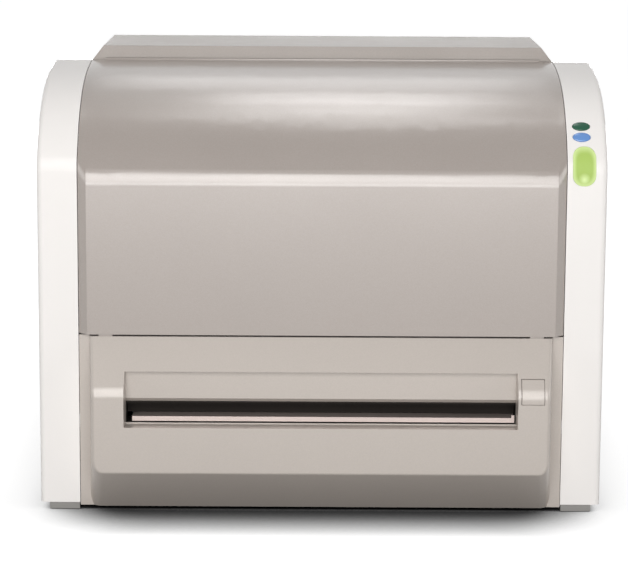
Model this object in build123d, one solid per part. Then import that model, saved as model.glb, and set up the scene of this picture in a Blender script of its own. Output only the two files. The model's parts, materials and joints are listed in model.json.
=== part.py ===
from build123d import *
import math
import os

# Computed radiography digitizer, tabletop size. Millimetres, X to the right,
# the slot faces -Y, Z up. The origin is on the floor below the middle of the
# outline. A depth is measured back from the face of the front panel.

# Overall outline
WIDTH = 586.0
DEPTH = 700.0
HEIGHT = 471.0
SKIN = 3.0
COVER_GAP = 0.6
FLOOR_CLEAR = 8.0
EDGE_ROUND = 6.0

# White side covers
COVER_FACE = 41.5
FACE_SET = 9.0
COVER_STEP = 1.5
COVER_TOP_FALL = 2.5
COVER_TOP_PULL = 70.0
COVER_REAR_PULL = 75.0

# Grey hood: flat front, a bend, then one long curve to the foot of the shelf
BEND_ROUND = 9.0
BEND_DROP = 118.0
HOOD_LEAN = 60.0
HOOD_END_SLOPE = 3.0
HOOD_PULL_FRONT = 79.0
HOOD_PULL_TOP = 105.0
HOOD_BEVEL = 9.0
SEAM_HEIGHT = 188.0
SEAM_GAP = 1.5
TAB_INSET = 19.0
TAB_WIDE = 14.5
TAB_SET = 1.0
TAB_THICK = 3.0
TAB_DROP = 5.0

# Raised shelf on top and the fall of the back
SHELF_STEP = 14.5
SHELF_START = 197.0
SHELF_LENGTH = 148.0
SHELF_LEAN_RUN = 0.8
SHELF_BEVEL = 12.5
REAR_FALL = 8.0
REAR_PULL = 150.0
REAR_SEAM_DROP = 131.0
REAR_ROUND_PULL = 80.0
REAR_SET = 3.0

# Slot block on the lower front
BLOCK_REACH = 32.0
BLOCK_SIDE_SET = 10.9
BLOCK_DRAFT = 4.5
BLOCK_BEND = 135.0
BLOCK_BEND_ROUND = 24.0
BLOCK_BASE = 50.0
BLOCK_CORNER = 12.0
BLOCK_SIDE_ROUND = 4.0
UNDERCUT_END = 5.3
UNDERCUT_BACK = 5.0

# Recess and cassette slot
SLOT_FRAME_SET = 25.5
RECESS_SIDE = 1.0
RECESS_BACK = 20.0
RECESS_TOP = 154.5
SLOT_FLOOR = 99.0
SLOT_LIP = 1.0
SLOT_TALL = 22.5
SLOT_BROW = 3.5
LINER_WALL = 2.0
LINER_LENGTH = 26.0

# Cassette path
TABLE_TOP = 106.0
TABLE_SHEET = 2.0
TABLE_GAP = 0.5
TABLE_ROLLER_GAP = 29.5
TRAY_SHEET = 1.2
TRAY_LIP = 5.0
TRAY_LEFT_GAP = 6.5
TRAY_RIGHT_GAP = 1.5
TRAY_TAB = 3.0
BRUSH_TALL = 5.0
BRUSH_THICK = 2.0
GUIDE_TALL = 7.0
GUIDE_THICK = 4.0
GUIDE_START = 72.0
GUIDE_END_GAP = 20.5

# Light flap behind the slot
FLAP_DEPTH = 6.5
FLAP_AXIS_DROP = 2.6
FLAP_THICK = 1.6
FLAP_END_GAP = 0.7
FLAP_BOTTOM_GAP = 0.8
FLAP_PIN = 1.4
RUN_CLEAR = 0.05

# Release button, its spring and the cassette lock lever
KEY_SLOT_GAP = 4.5
KEY_WIDTH = 23.2
KEY_BASE = 124.3
KEY_TALL = 24.9
KEY_PROUD = 1.2
KEY_CLEAR = 0.4
KEY_BODY = 17.0
KEY_RIM = 1.8
STEM_SET = 12.5
STEM_WIDE = 3.0
STEM_TALL = 4.0
STEM_Z = 135.0
STEM_END_GAP = 0.4
SPRING_RADIUS = 4.2
SPRING_WIRE = 0.9
SPRING_TURNS = 4.0
SPRING_END_GAP = 3.4
LEVER_SET = 7.0
LEVER_DEPTH = 50.0
LEVER_HUB = 4.5
LEVER_PIN = 2.0
LEVER_ARM = 6.0
LEVER_ARM_REACH = 15.0
LEVER_HOOK = 5.0
LEVER_NOSE_DEPTH = 25.0
LEVER_NOSE = 8.0

# Oval buttons and status light in the right cover
OVAL_SET = 26.3
OVAL_WIDE = 18.2
OVAL_TALL = 10.6
OVAL_PROUD = 1.3
OVAL_BODY = 6.5
OVAL_CLEAR = 0.35
OVAL_RIM = 1.4
OVAL_UPPER_DEPTH = 35.8
OVAL_LOWER_DEPTH = 27.0
LENS_SET = 24.2
LENS_WIDE = 23.6
LENS_DROP = 8.0
LENS_TALL = 39.4
LENS_CORNER = 10.5
LENS_PROUD = 0.6
LENS_THICK = 3.2
LENS_CLEAR = 0.2
PANEL_BOARD_DROP = 9.5
PANEL_BOARD_THICK = 1.6
PANEL_BOARD_WIDE = 29.0
PANEL_BOARD_LONG = 62.0
BOSS_RADIUS = 2.4

# Base
FOOT_HEIGHT = 5.0
FOOT_RADIUS = 17.0
FOOT_INSET = 44.0
BASE_SHEET = 2.0
BASE_START = 14.0
BASE_END_GAP = 9.0
RAIL_WIDE = 31.5
RAIL_TALL = 7.5
RAIL_SKIN = 2.5
RAIL_SIDE_GAP = 9.5

# Side frames
FRAME_SIDE_SET = 66.0
FRAME_SHEET = 2.0
FRAME_FLANGE = 12.0
FRAME_FRONT = 15.0
FRAME_TOP_START = 185.0
FRAME_TOP_END = 350.0
FRAME_REAR_GAP = 20.0

# Cross members, pickup carriage and its screw
CROSS_FRONT = 62.0
CROSS_SHEET = 2.5
CROSS_BASE = 146.0
CROSS_TALL = 74.0
ROD_Z = 160.0
ROD_RADIUS = 5.0
SCREW_Z = 196.0
SCREW_RADIUS = 5.0
SCREW_JOURNAL = 3.5
SCREW_LEAD = 20.0
CARRIAGE_LONG = 30.0
CARRIAGE_BASE = 150.0
CARRIAGE_TALL = 20.0
CARRIAGE_END_GAP = 5.0
CARRIAGE_WALL = 3.0
NUT_WIDE = 26.0
CUP_RADIUS = 10.0
CUP_TALL = 9.0
CUP_DROP = 24.0
CUP_PITCH = 90.0
STEP_MOTOR = 42.0
STEP_MOTOR_LONG = 40.0

# Plate transport rollers
PATH_HEIGHT = 117.0
PLATE_GAP = 1.0
ROLLER_RADIUS = 12.0
ROLLER_BACK = 164.8
ROLLER_PITCH = 60.0
ROLLER_END_GAP = 37.0
ROLLER_SHAFT = 5.0
BEARING_OUT = 8.0
BEARING_WIDE = 5.0
PULLEY_RADIUS = 11.0
PULLEY_WIDE = 10.0
PULLEY_GAP = 5.0
BELT_THICK = 1.5
BELT_WIDE = 7.0
BELT_CLEAR = 0.3
DRIVE_MOTOR_HEIGHT = 66.0
DRIVE_MOTOR_RADIUS = 20.0
DRIVE_MOTOR_LONG = 46.0
MOTOR_SHAFT = 3.0

# Scanning station
PLATEN_LONG = 26.0
PLATEN_DROP = 1.0
PLATEN_TALL = 9.0
PLATEN_SHEET = 1.5
COLLECTOR_BASE = 124.0
COLLECTOR_SLIT = 4.0
BED_HEIGHT = 250.0
BED_THICK = 6.0
BED_RIB = 14.0
BED_SLOT_LONG = 18.0
TUBE_RADIUS = 22.0
TUBE_TALL = 62.0
TUBE_SOCKET = 6.0
FOLD_TALL = 34.0
FOLD_THICK = 5.0
FOLD_TILT = 35.0
POLYGON_RADIUS = 24.0
POLYGON_TALL = 8.0
POLYGON_LIFT = 17.0
POLYGON_SHAFT = 4.0
POLYGON_BASE = 31.0
POLYGON_BASE_TALL = 12.0
LASER_X = 96.0
LASER_LONG = 74.0
LASER_WIDE = 40.0
LASER_TALL = 36.0
ERASE_LONG = 34.0
ERASE_BASE = 150.0
ERASE_TALL = 24.0
CHUTE_RADIUS = 56.0
CHUTE_TOP = 300.0
CHUTE_SHEET = 1.5
CHUTE_DROP = 2.0

# Electronics, fan and rear connectors
SUPPLY_LONG = 190.0
SUPPLY_TALL = 62.0
BOARD_X = 20.0
BOARD_LONG = 290.0
BOARD_THICK = 1.6
BOARD_LIFT = 14.0
STANDOFF_RADIUS = 3.5
STANDOFF_INSET = 9.0
FAN_HEIGHT = 72.0
FAN_SIZE = 80.0
FAN_THICK = 25.0
FAN_BORE = 37.0
FAN_TIP_GAP = 1.0
FAN_HUB = 15.0
FAN_BLADES = 7
FAN_SPINDLE = 2.5
INLET_HEIGHT = 62.0
INLET_WIDE = 48.0
INLET_TALL = 27.0
INLET_BODY = 24.0
SWITCH_WIDE = 19.0
SWITCH_TALL = 28.0
SWITCH_BODY = 20.0
SWITCH_BEZEL = 3.0
ROCKER_TILT = 8.0
ROCKER_PROUD = 2.2
ROCKER_CLEAR = 0.5
ROCKER_PIN = 1.2
ROCKER_AXIS_SET = 3.5
ROCKER_WELL = 9.0
SOCKET_PITCH = 26.0
SOCKET_WIDE = 17.0
SOCKET_TALL = 15.0
SOCKET_BODY = 20.0
VENT_WIDE = 5.0
VENT_TALL = 46.0
VENT_PITCH = 13.0
VENT_COUNT = 22
VENT_HEIGHT = 240.0
SCREW_HEAD = 4.0
SCREW_HEAD_TALL = 2.0
SCREW_EDGE = 12.0

# Places and lengths that follow from the sizes above
FRONT_Y = BLOCK_REACH + KEY_PROUD - DEPTH / 2
BODY_DEPTH = DEPTH - BLOCK_REACH - KEY_PROUD
GREY_HALF = WIDTH / 2 - COVER_FACE - COVER_GAP
PANEL_HALF = GREY_HALF - HOOD_BEVEL
HOOD_TOP = HEIGHT - SHELF_STEP
BEND_HEIGHT = HEIGHT - BEND_DROP
REAR_SEAM = HEIGHT - REAR_SEAM_DROP
BLOCK_HALF = GREY_HALF - BLOCK_SIDE_SET
FRAME_X = WIDTH / 2 - FRAME_SIDE_SET
FRAME_BEND = BEND_HEIGHT - 31.0
FRAME_TOP = HEIGHT - 35.0
FRAME_REAR_TOP = REAR_SEAM - 40.0
FOOT_X = FRAME_X - 5.0
SHELF_END = SHELF_START + SHELF_LENGTH
LOWER_TOP = SEAM_HEIGHT - SEAM_GAP / 2
HOOD_BASE = SEAM_HEIGHT + SEAM_GAP / 2
RECESS_DEPTH = RECESS_BACK - BLOCK_REACH
LINER_START = RECESS_DEPTH + SKIN
LINER_END = LINER_START + LINER_LENGTH
SLOT_CEILING = SLOT_FLOOR + SLOT_TALL
SLOT_HALF = FRAME_X - SLOT_FRAME_SET
TRAY_LEFT = SLOT_HALF - TRAY_LEFT_GAP
TRAY_RIGHT = SLOT_HALF - TRAY_RIGHT_GAP
KEY_LEFT = SLOT_HALF + KEY_SLOT_GAP
STEM_X = KEY_LEFT + STEM_SET
LEVER_X = SLOT_HALF + LEVER_SET
OVAL_X = WIDTH / 2 - OVAL_SET
LENS_X = WIDTH / 2 - LENS_SET
LENS_BASE = BEND_HEIGHT - LENS_DROP
ROLLER_FRONT = BODY_DEPTH - ROLLER_BACK
ROLLER_REAR = ROLLER_FRONT + ROLLER_PITCH
ROLLER_HALF = FRAME_X - ROLLER_END_GAP
TABLE_START = LINER_END + TABLE_GAP
TABLE_LENGTH = ROLLER_FRONT - TABLE_ROLLER_GAP - TABLE_START
GUIDE_LENGTH = TABLE_START + TABLE_LENGTH - GUIDE_END_GAP - GUIDE_START
CROSS_REAR = ROLLER_FRONT - 28.0
ROD_X = FRAME_X - 15.0
SCREW_X = FRAME_X - 39.0
CARRIAGE_DEPTH = ROLLER_FRONT - 77.0
DRIVE_MOTOR_DEPTH = ROLLER_FRONT + ROLLER_PITCH / 2
COLLECTOR_START = ROLLER_FRONT + 32.0
COLLECTOR_HALF = FRAME_X - 42.0
BED_START = ROLLER_FRONT - 240.0
BED_END = ROLLER_FRONT + 102.0
BED_SLOT_START = ROLLER_FRONT - 34.0
FOLD_DEPTH = ROLLER_FRONT - 50.0
FOLD_HALF = FRAME_X - 49.0
POLYGON_DEPTH = ROLLER_FRONT - 172.0
ERASE_START = ROLLER_REAR + 24.0
CHUTE_START = ROLLER_REAR + 16.0
SUPPLY_X = FRAME_X - 57.0
SUPPLY_WIDE = SUPPLY_X - 20.0
SUPPLY_DEPTH = ROLLER_FRONT - 102.0
BOARD_WIDE = FRAME_X - 27.0 - BOARD_X
BOARD_DEPTH = ROLLER_FRONT - 172.0
INLET_X = 47.0 - FRAME_X
SWITCH_X = INLET_X + 52.0
SOCKET_X = INLET_X + 96.0
FAN_X = FRAME_X - 115.0
BASE_TOP = FOOT_HEIGHT + BASE_SHEET
BASE_END = BODY_DEPTH - BASE_END_GAP
PANEL_OUT = BODY_DEPTH - REAR_SET
PANEL_IN = PANEL_OUT - SKIN
FRAME_REAR = BODY_DEPTH - FRAME_REAR_GAP
RAIL_IN = WIDTH / 2 - RAIL_SIDE_GAP - RAIL_WIDE


def at(x, depth, z):
    """Point at a distance behind the front panel's face."""
    return Vector(x, FRONT_Y + depth, z)


def block(x0, x1, d0, d1, z0, z1):
    """Rectangular solid between two corners."""
    middle = at((x0 + x1) / 2, (d0 + d1) / 2, (z0 + z1) / 2)
    return Pos(middle.X, middle.Y, middle.Z) * Box(x1 - x0, d1 - d0, z1 - z0)


def rod_x(x0, x1, depth, z, radius):
    """Cylinder along X."""
    middle = at((x0 + x1) / 2, depth, z)
    place = Pos(middle.X, middle.Y, middle.Z)
    return place * Rot(0, 90, 0) * Cylinder(radius, x1 - x0)


def rod_y(x, d0, d1, z, radius):
    """Cylinder along Y."""
    middle = at(x, (d0 + d1) / 2, z)
    place = Pos(middle.X, middle.Y, middle.Z)
    return place * Rot(90, 0, 0) * Cylinder(radius, d1 - d0)


def rod_z(x, depth, z0, z1, radius):
    """Cylinder along Z."""
    middle = at(x, depth, (z0 + z1) / 2)
    return Pos(middle.X, middle.Y, middle.Z) * Cylinder(radius, z1 - z0)


def side_prism(points, x0, x1):
    """Extrude a side-view polygon of (depth, height) points from x0 to x1."""
    face = make_face(Polyline([at(x0, d, z) for d, z in points], close=True))
    return extrude(face, amount=x1 - x0, dir=(1, 0, 0))


def bezier(x, points):
    return Bezier(*[at(x, d, z) for d, z in points])


def line(x, start, end):
    return Line(at(x, *start), at(x, *end))


def hood_edges(x, face_in, curve_in, base):
    """Front face, bend and long curve of the hood, moved in by two amounts."""
    lean = math.radians(HOOD_LEAN)
    along = (math.cos(lean), math.sin(lean))
    inward = (math.sin(lean), -math.cos(lean))
    foot = (curve_in * inward[0], BEND_HEIGHT + curve_in * inward[1])
    slide = (face_in - foot[0]) / along[0]
    corner = (face_in, foot[1] + slide * along[1])
    rise = slide + BEND_ROUND
    start = (foot[0] + rise * along[0], foot[1] + rise * along[1])
    slope = math.radians(HOOD_END_SLOPE)
    last = (SHELF_START, HOOD_TOP - curve_in)
    shrink = 1 - curve_in / math.hypot(SHELF_START, HOOD_TOP - BEND_HEIGHT)
    pull_a = HOOD_PULL_FRONT * shrink - slide
    pull_b = HOOD_PULL_TOP * shrink
    near = (start[0] + pull_a * along[0], start[1] + pull_a * along[1])
    far = (last[0] - pull_b * math.cos(slope), last[1] - pull_b * math.sin(slope))
    low = (face_in, corner[1] - BEND_ROUND)
    edges = [line(x, (face_in, base), low)]
    edges.append(bezier(x, [low, corner, start]))
    edges.append(bezier(x, [start, near, far, last]))
    return edges


def rear_edges(x, top_in, rear_in, base):
    """Fall of the back from the end of the shelf down to the rear face."""
    fall = math.radians(REAR_FALL)
    first = (SHELF_END, HEIGHT - top_in)
    near = (first[0] + REAR_PULL * math.cos(fall), first[1] - REAR_PULL * math.sin(fall))
    turn = REAR_SEAM - (top_in - rear_in) / 2
    last = (BODY_DEPTH - rear_in, turn)
    far = (last[0], turn + REAR_ROUND_PULL)
    edges = [bezier(x, [first, near, far, last])]
    if base < turn:
        edges.append(line(x, last, (last[0], base)))
    return edges


def hood_region(x, face_in, curve_in, spread):
    """Side-view face under the hood, closed by a chord; spread opens it up."""
    edges = hood_edges(x, face_in, curve_in, HOOD_BASE - spread)
    top = (SHELF_START, HOOD_TOP - curve_in)
    if spread > 0:
        edges.append(line(x, top, (SHELF_START + spread, top[1])))
    edges.append(line(x, (SHELF_START + spread, top[1]), (face_in, HOOD_BASE - spread)))
    return make_face(Wire(edges))


def shelf_region(x, top_in, front_in, rear_in, spread):
    """Side-view face of the raised shelf and the fall behind it."""
    start = (SHELF_START + front_in, HOOD_TOP - SKIN - spread)
    rim = (SHELF_START + front_in + SHELF_LEAN_RUN, HEIGHT - top_in)
    flat = (SHELF_END, HEIGHT - top_in)
    edges = [line(x, start, rim), line(x, rim, flat)]
    edges.extend(rear_edges(x, top_in, rear_in, REAR_SEAM - 0.5 * SHELF_STEP - spread))
    low = edges[-1].position_at(1)
    edges.append(Line(low, at(x, *start)))
    return make_face(Wire(edges))


def cover_region(x, inset, floor):
    """Side-view face of a white side cover."""
    edges = hood_edges(x, FACE_SET + inset, COVER_STEP + inset, floor)
    top = HOOD_TOP - COVER_STEP - inset
    rear = BODY_DEPTH - inset
    fall = math.radians(COVER_TOP_FALL)
    near = (SHELF_START + COVER_TOP_PULL * math.cos(fall), top - COVER_TOP_PULL * math.sin(fall))
    far = (rear, REAR_SEAM + COVER_REAR_PULL)
    edges.append(bezier(x, [(SHELF_START, top), near, far, (rear, REAR_SEAM)]))
    edges.append(line(x, (rear, REAR_SEAM), (rear, floor)))
    edges.append(line(x, (rear, floor), (FACE_SET + inset, floor)))
    return make_face(Wire(edges))


def prism(face, amount):
    return extrude(face, amount=amount, dir=(1, 0, 0))


def ruled(face_a, face_b):
    return loft([face_a, face_b], ruled=True)


def cover_spot(depth):
    """Point and slope of the white cover's curve at a depth."""
    curve = hood_edges(0, FACE_SET, COVER_STEP, FLOOR_CLEAR)[2]
    low = 0.0
    high = 1.0
    for _ in range(40):
        mid = (low + high) / 2
        if curve.position_at(mid).Y < FRONT_Y + depth:
            low = mid
        else:
            high = mid
    point = curve.position_at(low)
    tangent = curve.tangent_at(low)
    return point, tangent


def spot_plane(x, depth):
    """Plane on the right cover with its normal pointing out of the surface."""
    point, tangent = cover_spot(depth)
    normal = Vector(0, -tangent.Z, tangent.Y)
    return Plane(origin=(x, point.Y, point.Z), x_dir=(1, 0, 0), z_dir=normal)


def oval(plane, wide, tall, low, high):
    """Oval prism along the plane's normal between two heights."""
    sketch = plane.offset(low) * Ellipse(wide / 2, tall / 2)
    return extrude(sketch, amount=high - low)


def lens_prism(clear):
    """Rounded window outline, seen from the front, as a prism along Y."""
    middle = at(LENS_X, -10, LENS_BASE + LENS_TALL / 2)
    plane = Plane(origin=middle, x_dir=(1, 0, 0), z_dir=(0, 1, 0))
    wide = LENS_WIDE + 2 * clear
    tall = LENS_TALL + 2 * clear
    sketch = plane * RectangleRounded(wide, tall, LENS_CORNER + clear)
    return extrude(sketch, amount=70)


def panel_board_plane():
    """Plane of the small board behind the oval buttons."""
    middle = (OVAL_UPPER_DEPTH + OVAL_LOWER_DEPTH) / 2
    return spot_plane(OVAL_X, middle).offset(-PANEL_BOARD_DROP - PANEL_BOARD_THICK)


def side_cover(side):
    """White side cover: outer wall with a band round its front, top and back."""
    inner = WIDTH / 2 - COVER_FACE
    body = prism(cover_region(inner, 0, FLOOR_CLEAR), COVER_FACE)
    rim = body.edges().filter_by(lambda e: abs(e.center().X - WIDTH / 2) < 0.01)
    rim = rim.filter_by(lambda e: e.center().Z > FLOOR_CLEAR + 1)
    body = fillet(rim, EDGE_ROUND)
    hollow = prism(cover_region(inner - 1, SKIN, FLOOR_CLEAR - 5), COVER_FACE + 1 - SKIN)
    body = body - hollow
    if side > 0:
        for depth in (OVAL_UPPER_DEPTH, OVAL_LOWER_DEPTH):
            plane = spot_plane(OVAL_X, depth)
            wide = OVAL_WIDE + 2 * OVAL_CLEAR
            tall = OVAL_TALL + 2 * OVAL_CLEAR
            body = body - oval(plane, wide, tall, -SKIN * 2, SKIN)
        body = body - lens_prism(LENS_CLEAR)
        plane = panel_board_plane()
        reach = PANEL_BOARD_DROP
        for offset in (-1, 1):
            across = offset * (OVAL_WIDE / 2 + OVAL_RIM + BOSS_RADIUS + 0.6)
            spot = plane.offset(PANEL_BOARD_THICK) * Pos(across, OVAL_TALL / 2)
            post = spot * Cylinder(BOSS_RADIUS, reach, align=(Align.CENTER, Align.CENTER, Align.MIN))
            body = body + (post & prism(cover_region(inner, 0.5, FLOOR_CLEAR), COVER_FACE - SKIN / 2))
    else:
        body = mirror(body, about=Plane.YZ)
    return body


def hood_outer():
    """Outer form of the hood with bevelled sides."""
    middle = prism(hood_region(-PANEL_HALF, 0, 0, 0), 2 * PANEL_HALF)
    form = middle
    for side in (-1, 1):
        inner_face = hood_region(side * PANEL_HALF, 0, 0, 0)
        outer_face = hood_region(side * GREY_HALF, FACE_SET, COVER_STEP, 0)
        form = form + ruled(inner_face, outer_face)
    return form


def seam_tab(side, clear):
    """Catch below the hood that reaches across the seam into the lower cover."""
    x = side * (PANEL_HALF - TAB_INSET)
    half = TAB_WIDE / 2 + clear
    return block(x - half, x + half, TAB_SET - clear, TAB_SET + TAB_THICK + clear,
                 HOOD_BASE - TAB_DROP - clear, HOOD_BASE + SKIN)


def front_hood():
    """Front panel and curved hood in one moulding, open at the back."""
    form = hood_outer()
    inner = PANEL_HALF - SKIN
    form = form - prism(hood_region(-inner, SKIN, SKIN, 25), 2 * inner)
    deep = FACE_SET + SKIN
    wide = GREY_HALF - SKIN
    form = form - prism(hood_region(-wide, deep, COVER_STEP + 2 * SKIN, 25), 2 * wide)
    for side in (-1, 1):
        form = form + seam_tab(side, 0)
    return form


def top_cover():
    """Raised shelf with slanted riser and bevelled sides, falling to the rear."""
    top_half = GREY_HALF - SHELF_BEVEL
    drop = SHELF_STEP + COVER_STEP
    form = prism(shelf_region(-top_half, 0, 0, 0, 0), 2 * top_half)
    for side in (-1, 1):
        inner_face = shelf_region(side * top_half, 0, 0, 0, 0)
        outer_face = shelf_region(side * GREY_HALF, drop, 0, REAR_SET, 0)
        form = form + ruled(inner_face, outer_face)
    inner = top_half - SKIN / 2
    form = form - prism(shelf_region(-inner, SKIN, SKIN, SKIN, 25), 2 * inner)
    wide = GREY_HALF - SKIN
    low = drop + SKIN / 2
    form = form - prism(shelf_region(-wide, low, SKIN, 2 * SKIN, 25), 2 * wide)
    return form


def block_hollow(half):
    """Inside of the slot block, one wall in from its slope, face and undercut."""
    lean = (LOWER_TOP - BLOCK_BEND) / BLOCK_REACH
    fall = (BLOCK_BASE - UNDERCUT_END) / (BLOCK_REACH + UNDERCUT_BACK)
    front = SKIN - BLOCK_REACH
    back = FACE_SET + 3 * SKIN
    high = BLOCK_BEND - SKIN * (math.hypot(1, lean) - lean)
    low = BLOCK_BASE + SKIN * (math.hypot(1, fall) - fall)
    sill = UNDERCUT_END + SKIN
    points = [
        (back, high - lean * front),
        (0, high - lean * front),
        (front, high),
        (front, low),
        (front + (low - sill) / fall, sill),
        (back, sill),
    ]
    return side_prism(points, -half, half)


def front_edges(form):
    """Edges along X on the slot block's flat face, from the lowest up."""
    edges = form.edges().filter_by(Axis.X)
    edges = edges.filter_by(lambda e: e.center().Y < FRONT_Y - BLOCK_REACH + 0.01)
    return edges.sort_by(Axis.Z)


def block_form():
    """Outer form of the slot block with drafted sides and rounded edges."""
    back = FACE_SET + 3 * BLOCK_CORNER
    fall = (BLOCK_BASE - UNDERCUT_END) / (BLOCK_REACH + UNDERCUT_BACK)
    points = [
        (back, LOWER_TOP),
        (0, LOWER_TOP),
        (-BLOCK_REACH, BLOCK_BEND),
        (-BLOCK_REACH, BLOCK_BASE),
        (back, BLOCK_BASE - fall * (back + BLOCK_REACH)),
    ]
    form = side_prism(points, -BLOCK_HALF - BLOCK_CORNER, BLOCK_HALF + BLOCK_CORNER)
    form = fillet(front_edges(form)[-1], BLOCK_BEND_ROUND)
    draft = BLOCK_DRAFT / (FACE_SET + BLOCK_REACH)
    half_back = BLOCK_HALF + draft * (back - FACE_SET)
    half_front = BLOCK_HALF - BLOCK_DRAFT - draft
    plan = Polyline(
        at(-half_front, -BLOCK_REACH - 1, -HEIGHT),
        at(half_front, -BLOCK_REACH - 1, -HEIGHT),
        at(half_back, back, -HEIGHT),
        at(-half_back, back, -HEIGHT),
        close=True,
    )
    form = form & extrude(make_face(plan), amount=2 * HEIGHT, dir=(0, 0, 1))
    low = BLOCK_BASE - BLOCK_CORNER
    flank = form.edges().filter_by(lambda e: abs(e.center().X) > half_front - 1)
    flank = flank.filter_by(lambda e: e.center().Y < FRONT_Y + back - 1)
    form = fillet(flank.filter_by(lambda e: e.center().Z < low), BLOCK_CORNER)
    rim = form.edges().filter_by(lambda e: e.center().Y < FRONT_Y - 1)
    rim = rim.filter_by(lambda e: e.center().Z > BLOCK_BASE - 0.1)
    middle = rim.filter_by(lambda e: abs(e.center().X) < 1 and e.center().Z > BLOCK_BASE + 1)
    rim = rim.filter_by(lambda e: e not in middle)
    form = fillet(rim, BLOCK_SIDE_ROUND)
    keep = block(-WIDTH, WIDTH, -BLOCK_REACH - 1, FACE_SET + SKIN, UNDERCUT_END, HEIGHT)
    return form & keep


def key_hole(clear):
    """Straight channel for the release button."""
    low = KEY_BASE - clear
    high = KEY_BASE + KEY_TALL + clear
    right = KEY_LEFT + KEY_WIDTH + clear
    return block(KEY_LEFT - clear, right, -BLOCK_REACH - 10, LINER_START + 1, low, high)


def lower_front_cover():
    """Lower cover: flat surround and the slot block with its recess."""
    body = block_form()
    strip = block(-GREY_HALF, GREY_HALF, FACE_SET, FACE_SET + SKIN, UNDERCUT_END, LOWER_TOP)
    body = body + strip
    inner = BLOCK_HALF - BLOCK_DRAFT - BLOCK_SIDE_ROUND
    body = body - block_hollow(inner)
    wide = SLOT_HALF + RECESS_SIDE
    pocket = block(-wide - SKIN, wide + SKIN, -BLOCK_REACH - 1, LINER_START,
                   SLOT_FLOOR - SLOT_LIP - SKIN, RECESS_TOP + SKIN)
    body = body + (pocket & block_form())
    mouth = Polyline(
        at(-wide, -BLOCK_REACH - 2, 0),
        at(wide, -BLOCK_REACH - 2, 0),
        at(SLOT_HALF, RECESS_DEPTH, 0),
        at(-SLOT_HALF, RECESS_DEPTH, 0),
        close=True,
    )
    low = SLOT_FLOOR - SLOT_LIP
    cut = extrude(make_face(mouth), amount=RECESS_TOP - low, dir=(0, 0, 1))
    body = body - (Pos(0, 0, low) * cut)
    body = body - block(-SLOT_HALF, SLOT_HALF, RECESS_DEPTH - 1, LINER_START + 1,
                        SLOT_FLOOR, SLOT_CEILING)
    rise = SLOT_BROW / SKIN
    brow = [
        (RECESS_DEPTH - 1, SLOT_CEILING - 1),
        (RECESS_DEPTH - 1, SLOT_CEILING + SLOT_BROW + rise),
        (LINER_START, SLOT_CEILING),
        (LINER_START, SLOT_CEILING - 1),
    ]
    body = body - side_prism(brow, -SLOT_HALF, SLOT_HALF)
    for side in (-1, 1):
        body = body - seam_tab(side, KEY_CLEAR)
    return body - key_hole(KEY_CLEAR)


def release_button():
    """Square key that follows the bend of the block, with rim and stem."""
    right = KEY_LEFT + KEY_WIDTH
    points = [
        (FACE_SET, LOWER_TOP),
        (0, LOWER_TOP),
        (-BLOCK_REACH, BLOCK_BEND),
        (-BLOCK_REACH, BLOCK_BASE),
        (FACE_SET, BLOCK_BASE),
    ]
    form = side_prism(points, KEY_LEFT, right)
    form = Pos(0, -KEY_PROUD, 0) * fillet(front_edges(form)[-1], BLOCK_BEND_ROUND)
    back = KEY_BODY - BLOCK_REACH - KEY_PROUD
    cell = block(KEY_LEFT, right, back - KEY_BODY, back, KEY_BASE, KEY_BASE + KEY_TALL)
    key = form & cell
    rim = block(KEY_LEFT + KEY_RIM, right + KEY_RIM, back - KEY_RIM, back,
                KEY_BASE - KEY_RIM, KEY_BASE + KEY_TALL + KEY_RIM)
    half = STEM_WIDE / 2
    stem_end = LEVER_DEPTH - LEVER_ARM / 2 - STEM_END_GAP
    stem = block(STEM_X - half, STEM_X + half, back - 1, stem_end,
                 STEM_Z - STEM_TALL / 2, STEM_Z + STEM_TALL / 2)
    return key + rim + stem


def slot_liner():
    """Black throat behind the recess, with a guide tab for the key's stem."""
    wide = SLOT_HALF + LINER_WALL
    outer = block(-wide, wide, LINER_START, LINER_END,
                  SLOT_FLOOR - LINER_WALL, SLOT_CEILING + LINER_WALL)
    inner = block(-SLOT_HALF, SLOT_HALF, LINER_START - 1, LINER_END + 1,
                  SLOT_FLOOR, SLOT_CEILING)
    body = outer - inner
    body = body - rod_x(-wide - 1, wide + 1, FLAP_DEPTH, SLOT_CEILING - FLAP_AXIS_DROP,
                        FLAP_PIN + RUN_CLEAR)
    tab_end = FRAME_X - KEY_CLEAR
    tab = block(wide, tab_end, LINER_END - 6, LINER_END - 4,
                SLOT_FLOOR - LINER_WALL, STEM_Z + 12)
    hole = block(STEM_X - STEM_WIDE / 2 - KEY_CLEAR, STEM_X + STEM_WIDE / 2 + KEY_CLEAR,
                 LINER_END - 8, LINER_END - 2,
                 STEM_Z - STEM_TALL / 2 - KEY_CLEAR, STEM_Z + STEM_TALL / 2 + KEY_CLEAR)
    return body + (tab - hole)


def slot_brush():
    """Strip of bristles along the upper lip of the slot."""
    depth = LINER_START
    return block(-SLOT_HALF, SLOT_HALF, depth, depth + BRUSH_THICK,
                 SLOT_CEILING - BRUSH_TALL, SLOT_CEILING)


def slot_flap():
    """Light-tight flap that hangs from two pins at the top of the throat."""
    axis = SLOT_CEILING - FLAP_AXIS_DROP
    half = SLOT_HALF - FLAP_END_GAP
    low = TABLE_TOP + FLAP_BOTTOM_GAP
    leaf = block(-half, half, FLAP_DEPTH - FLAP_THICK / 2, FLAP_DEPTH + FLAP_THICK / 2, low, axis)
    pin = rod_x(-SLOT_HALF - LINER_WALL, SLOT_HALF + LINER_WALL, FLAP_DEPTH, axis, FLAP_PIN)
    return leaf + pin


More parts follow.
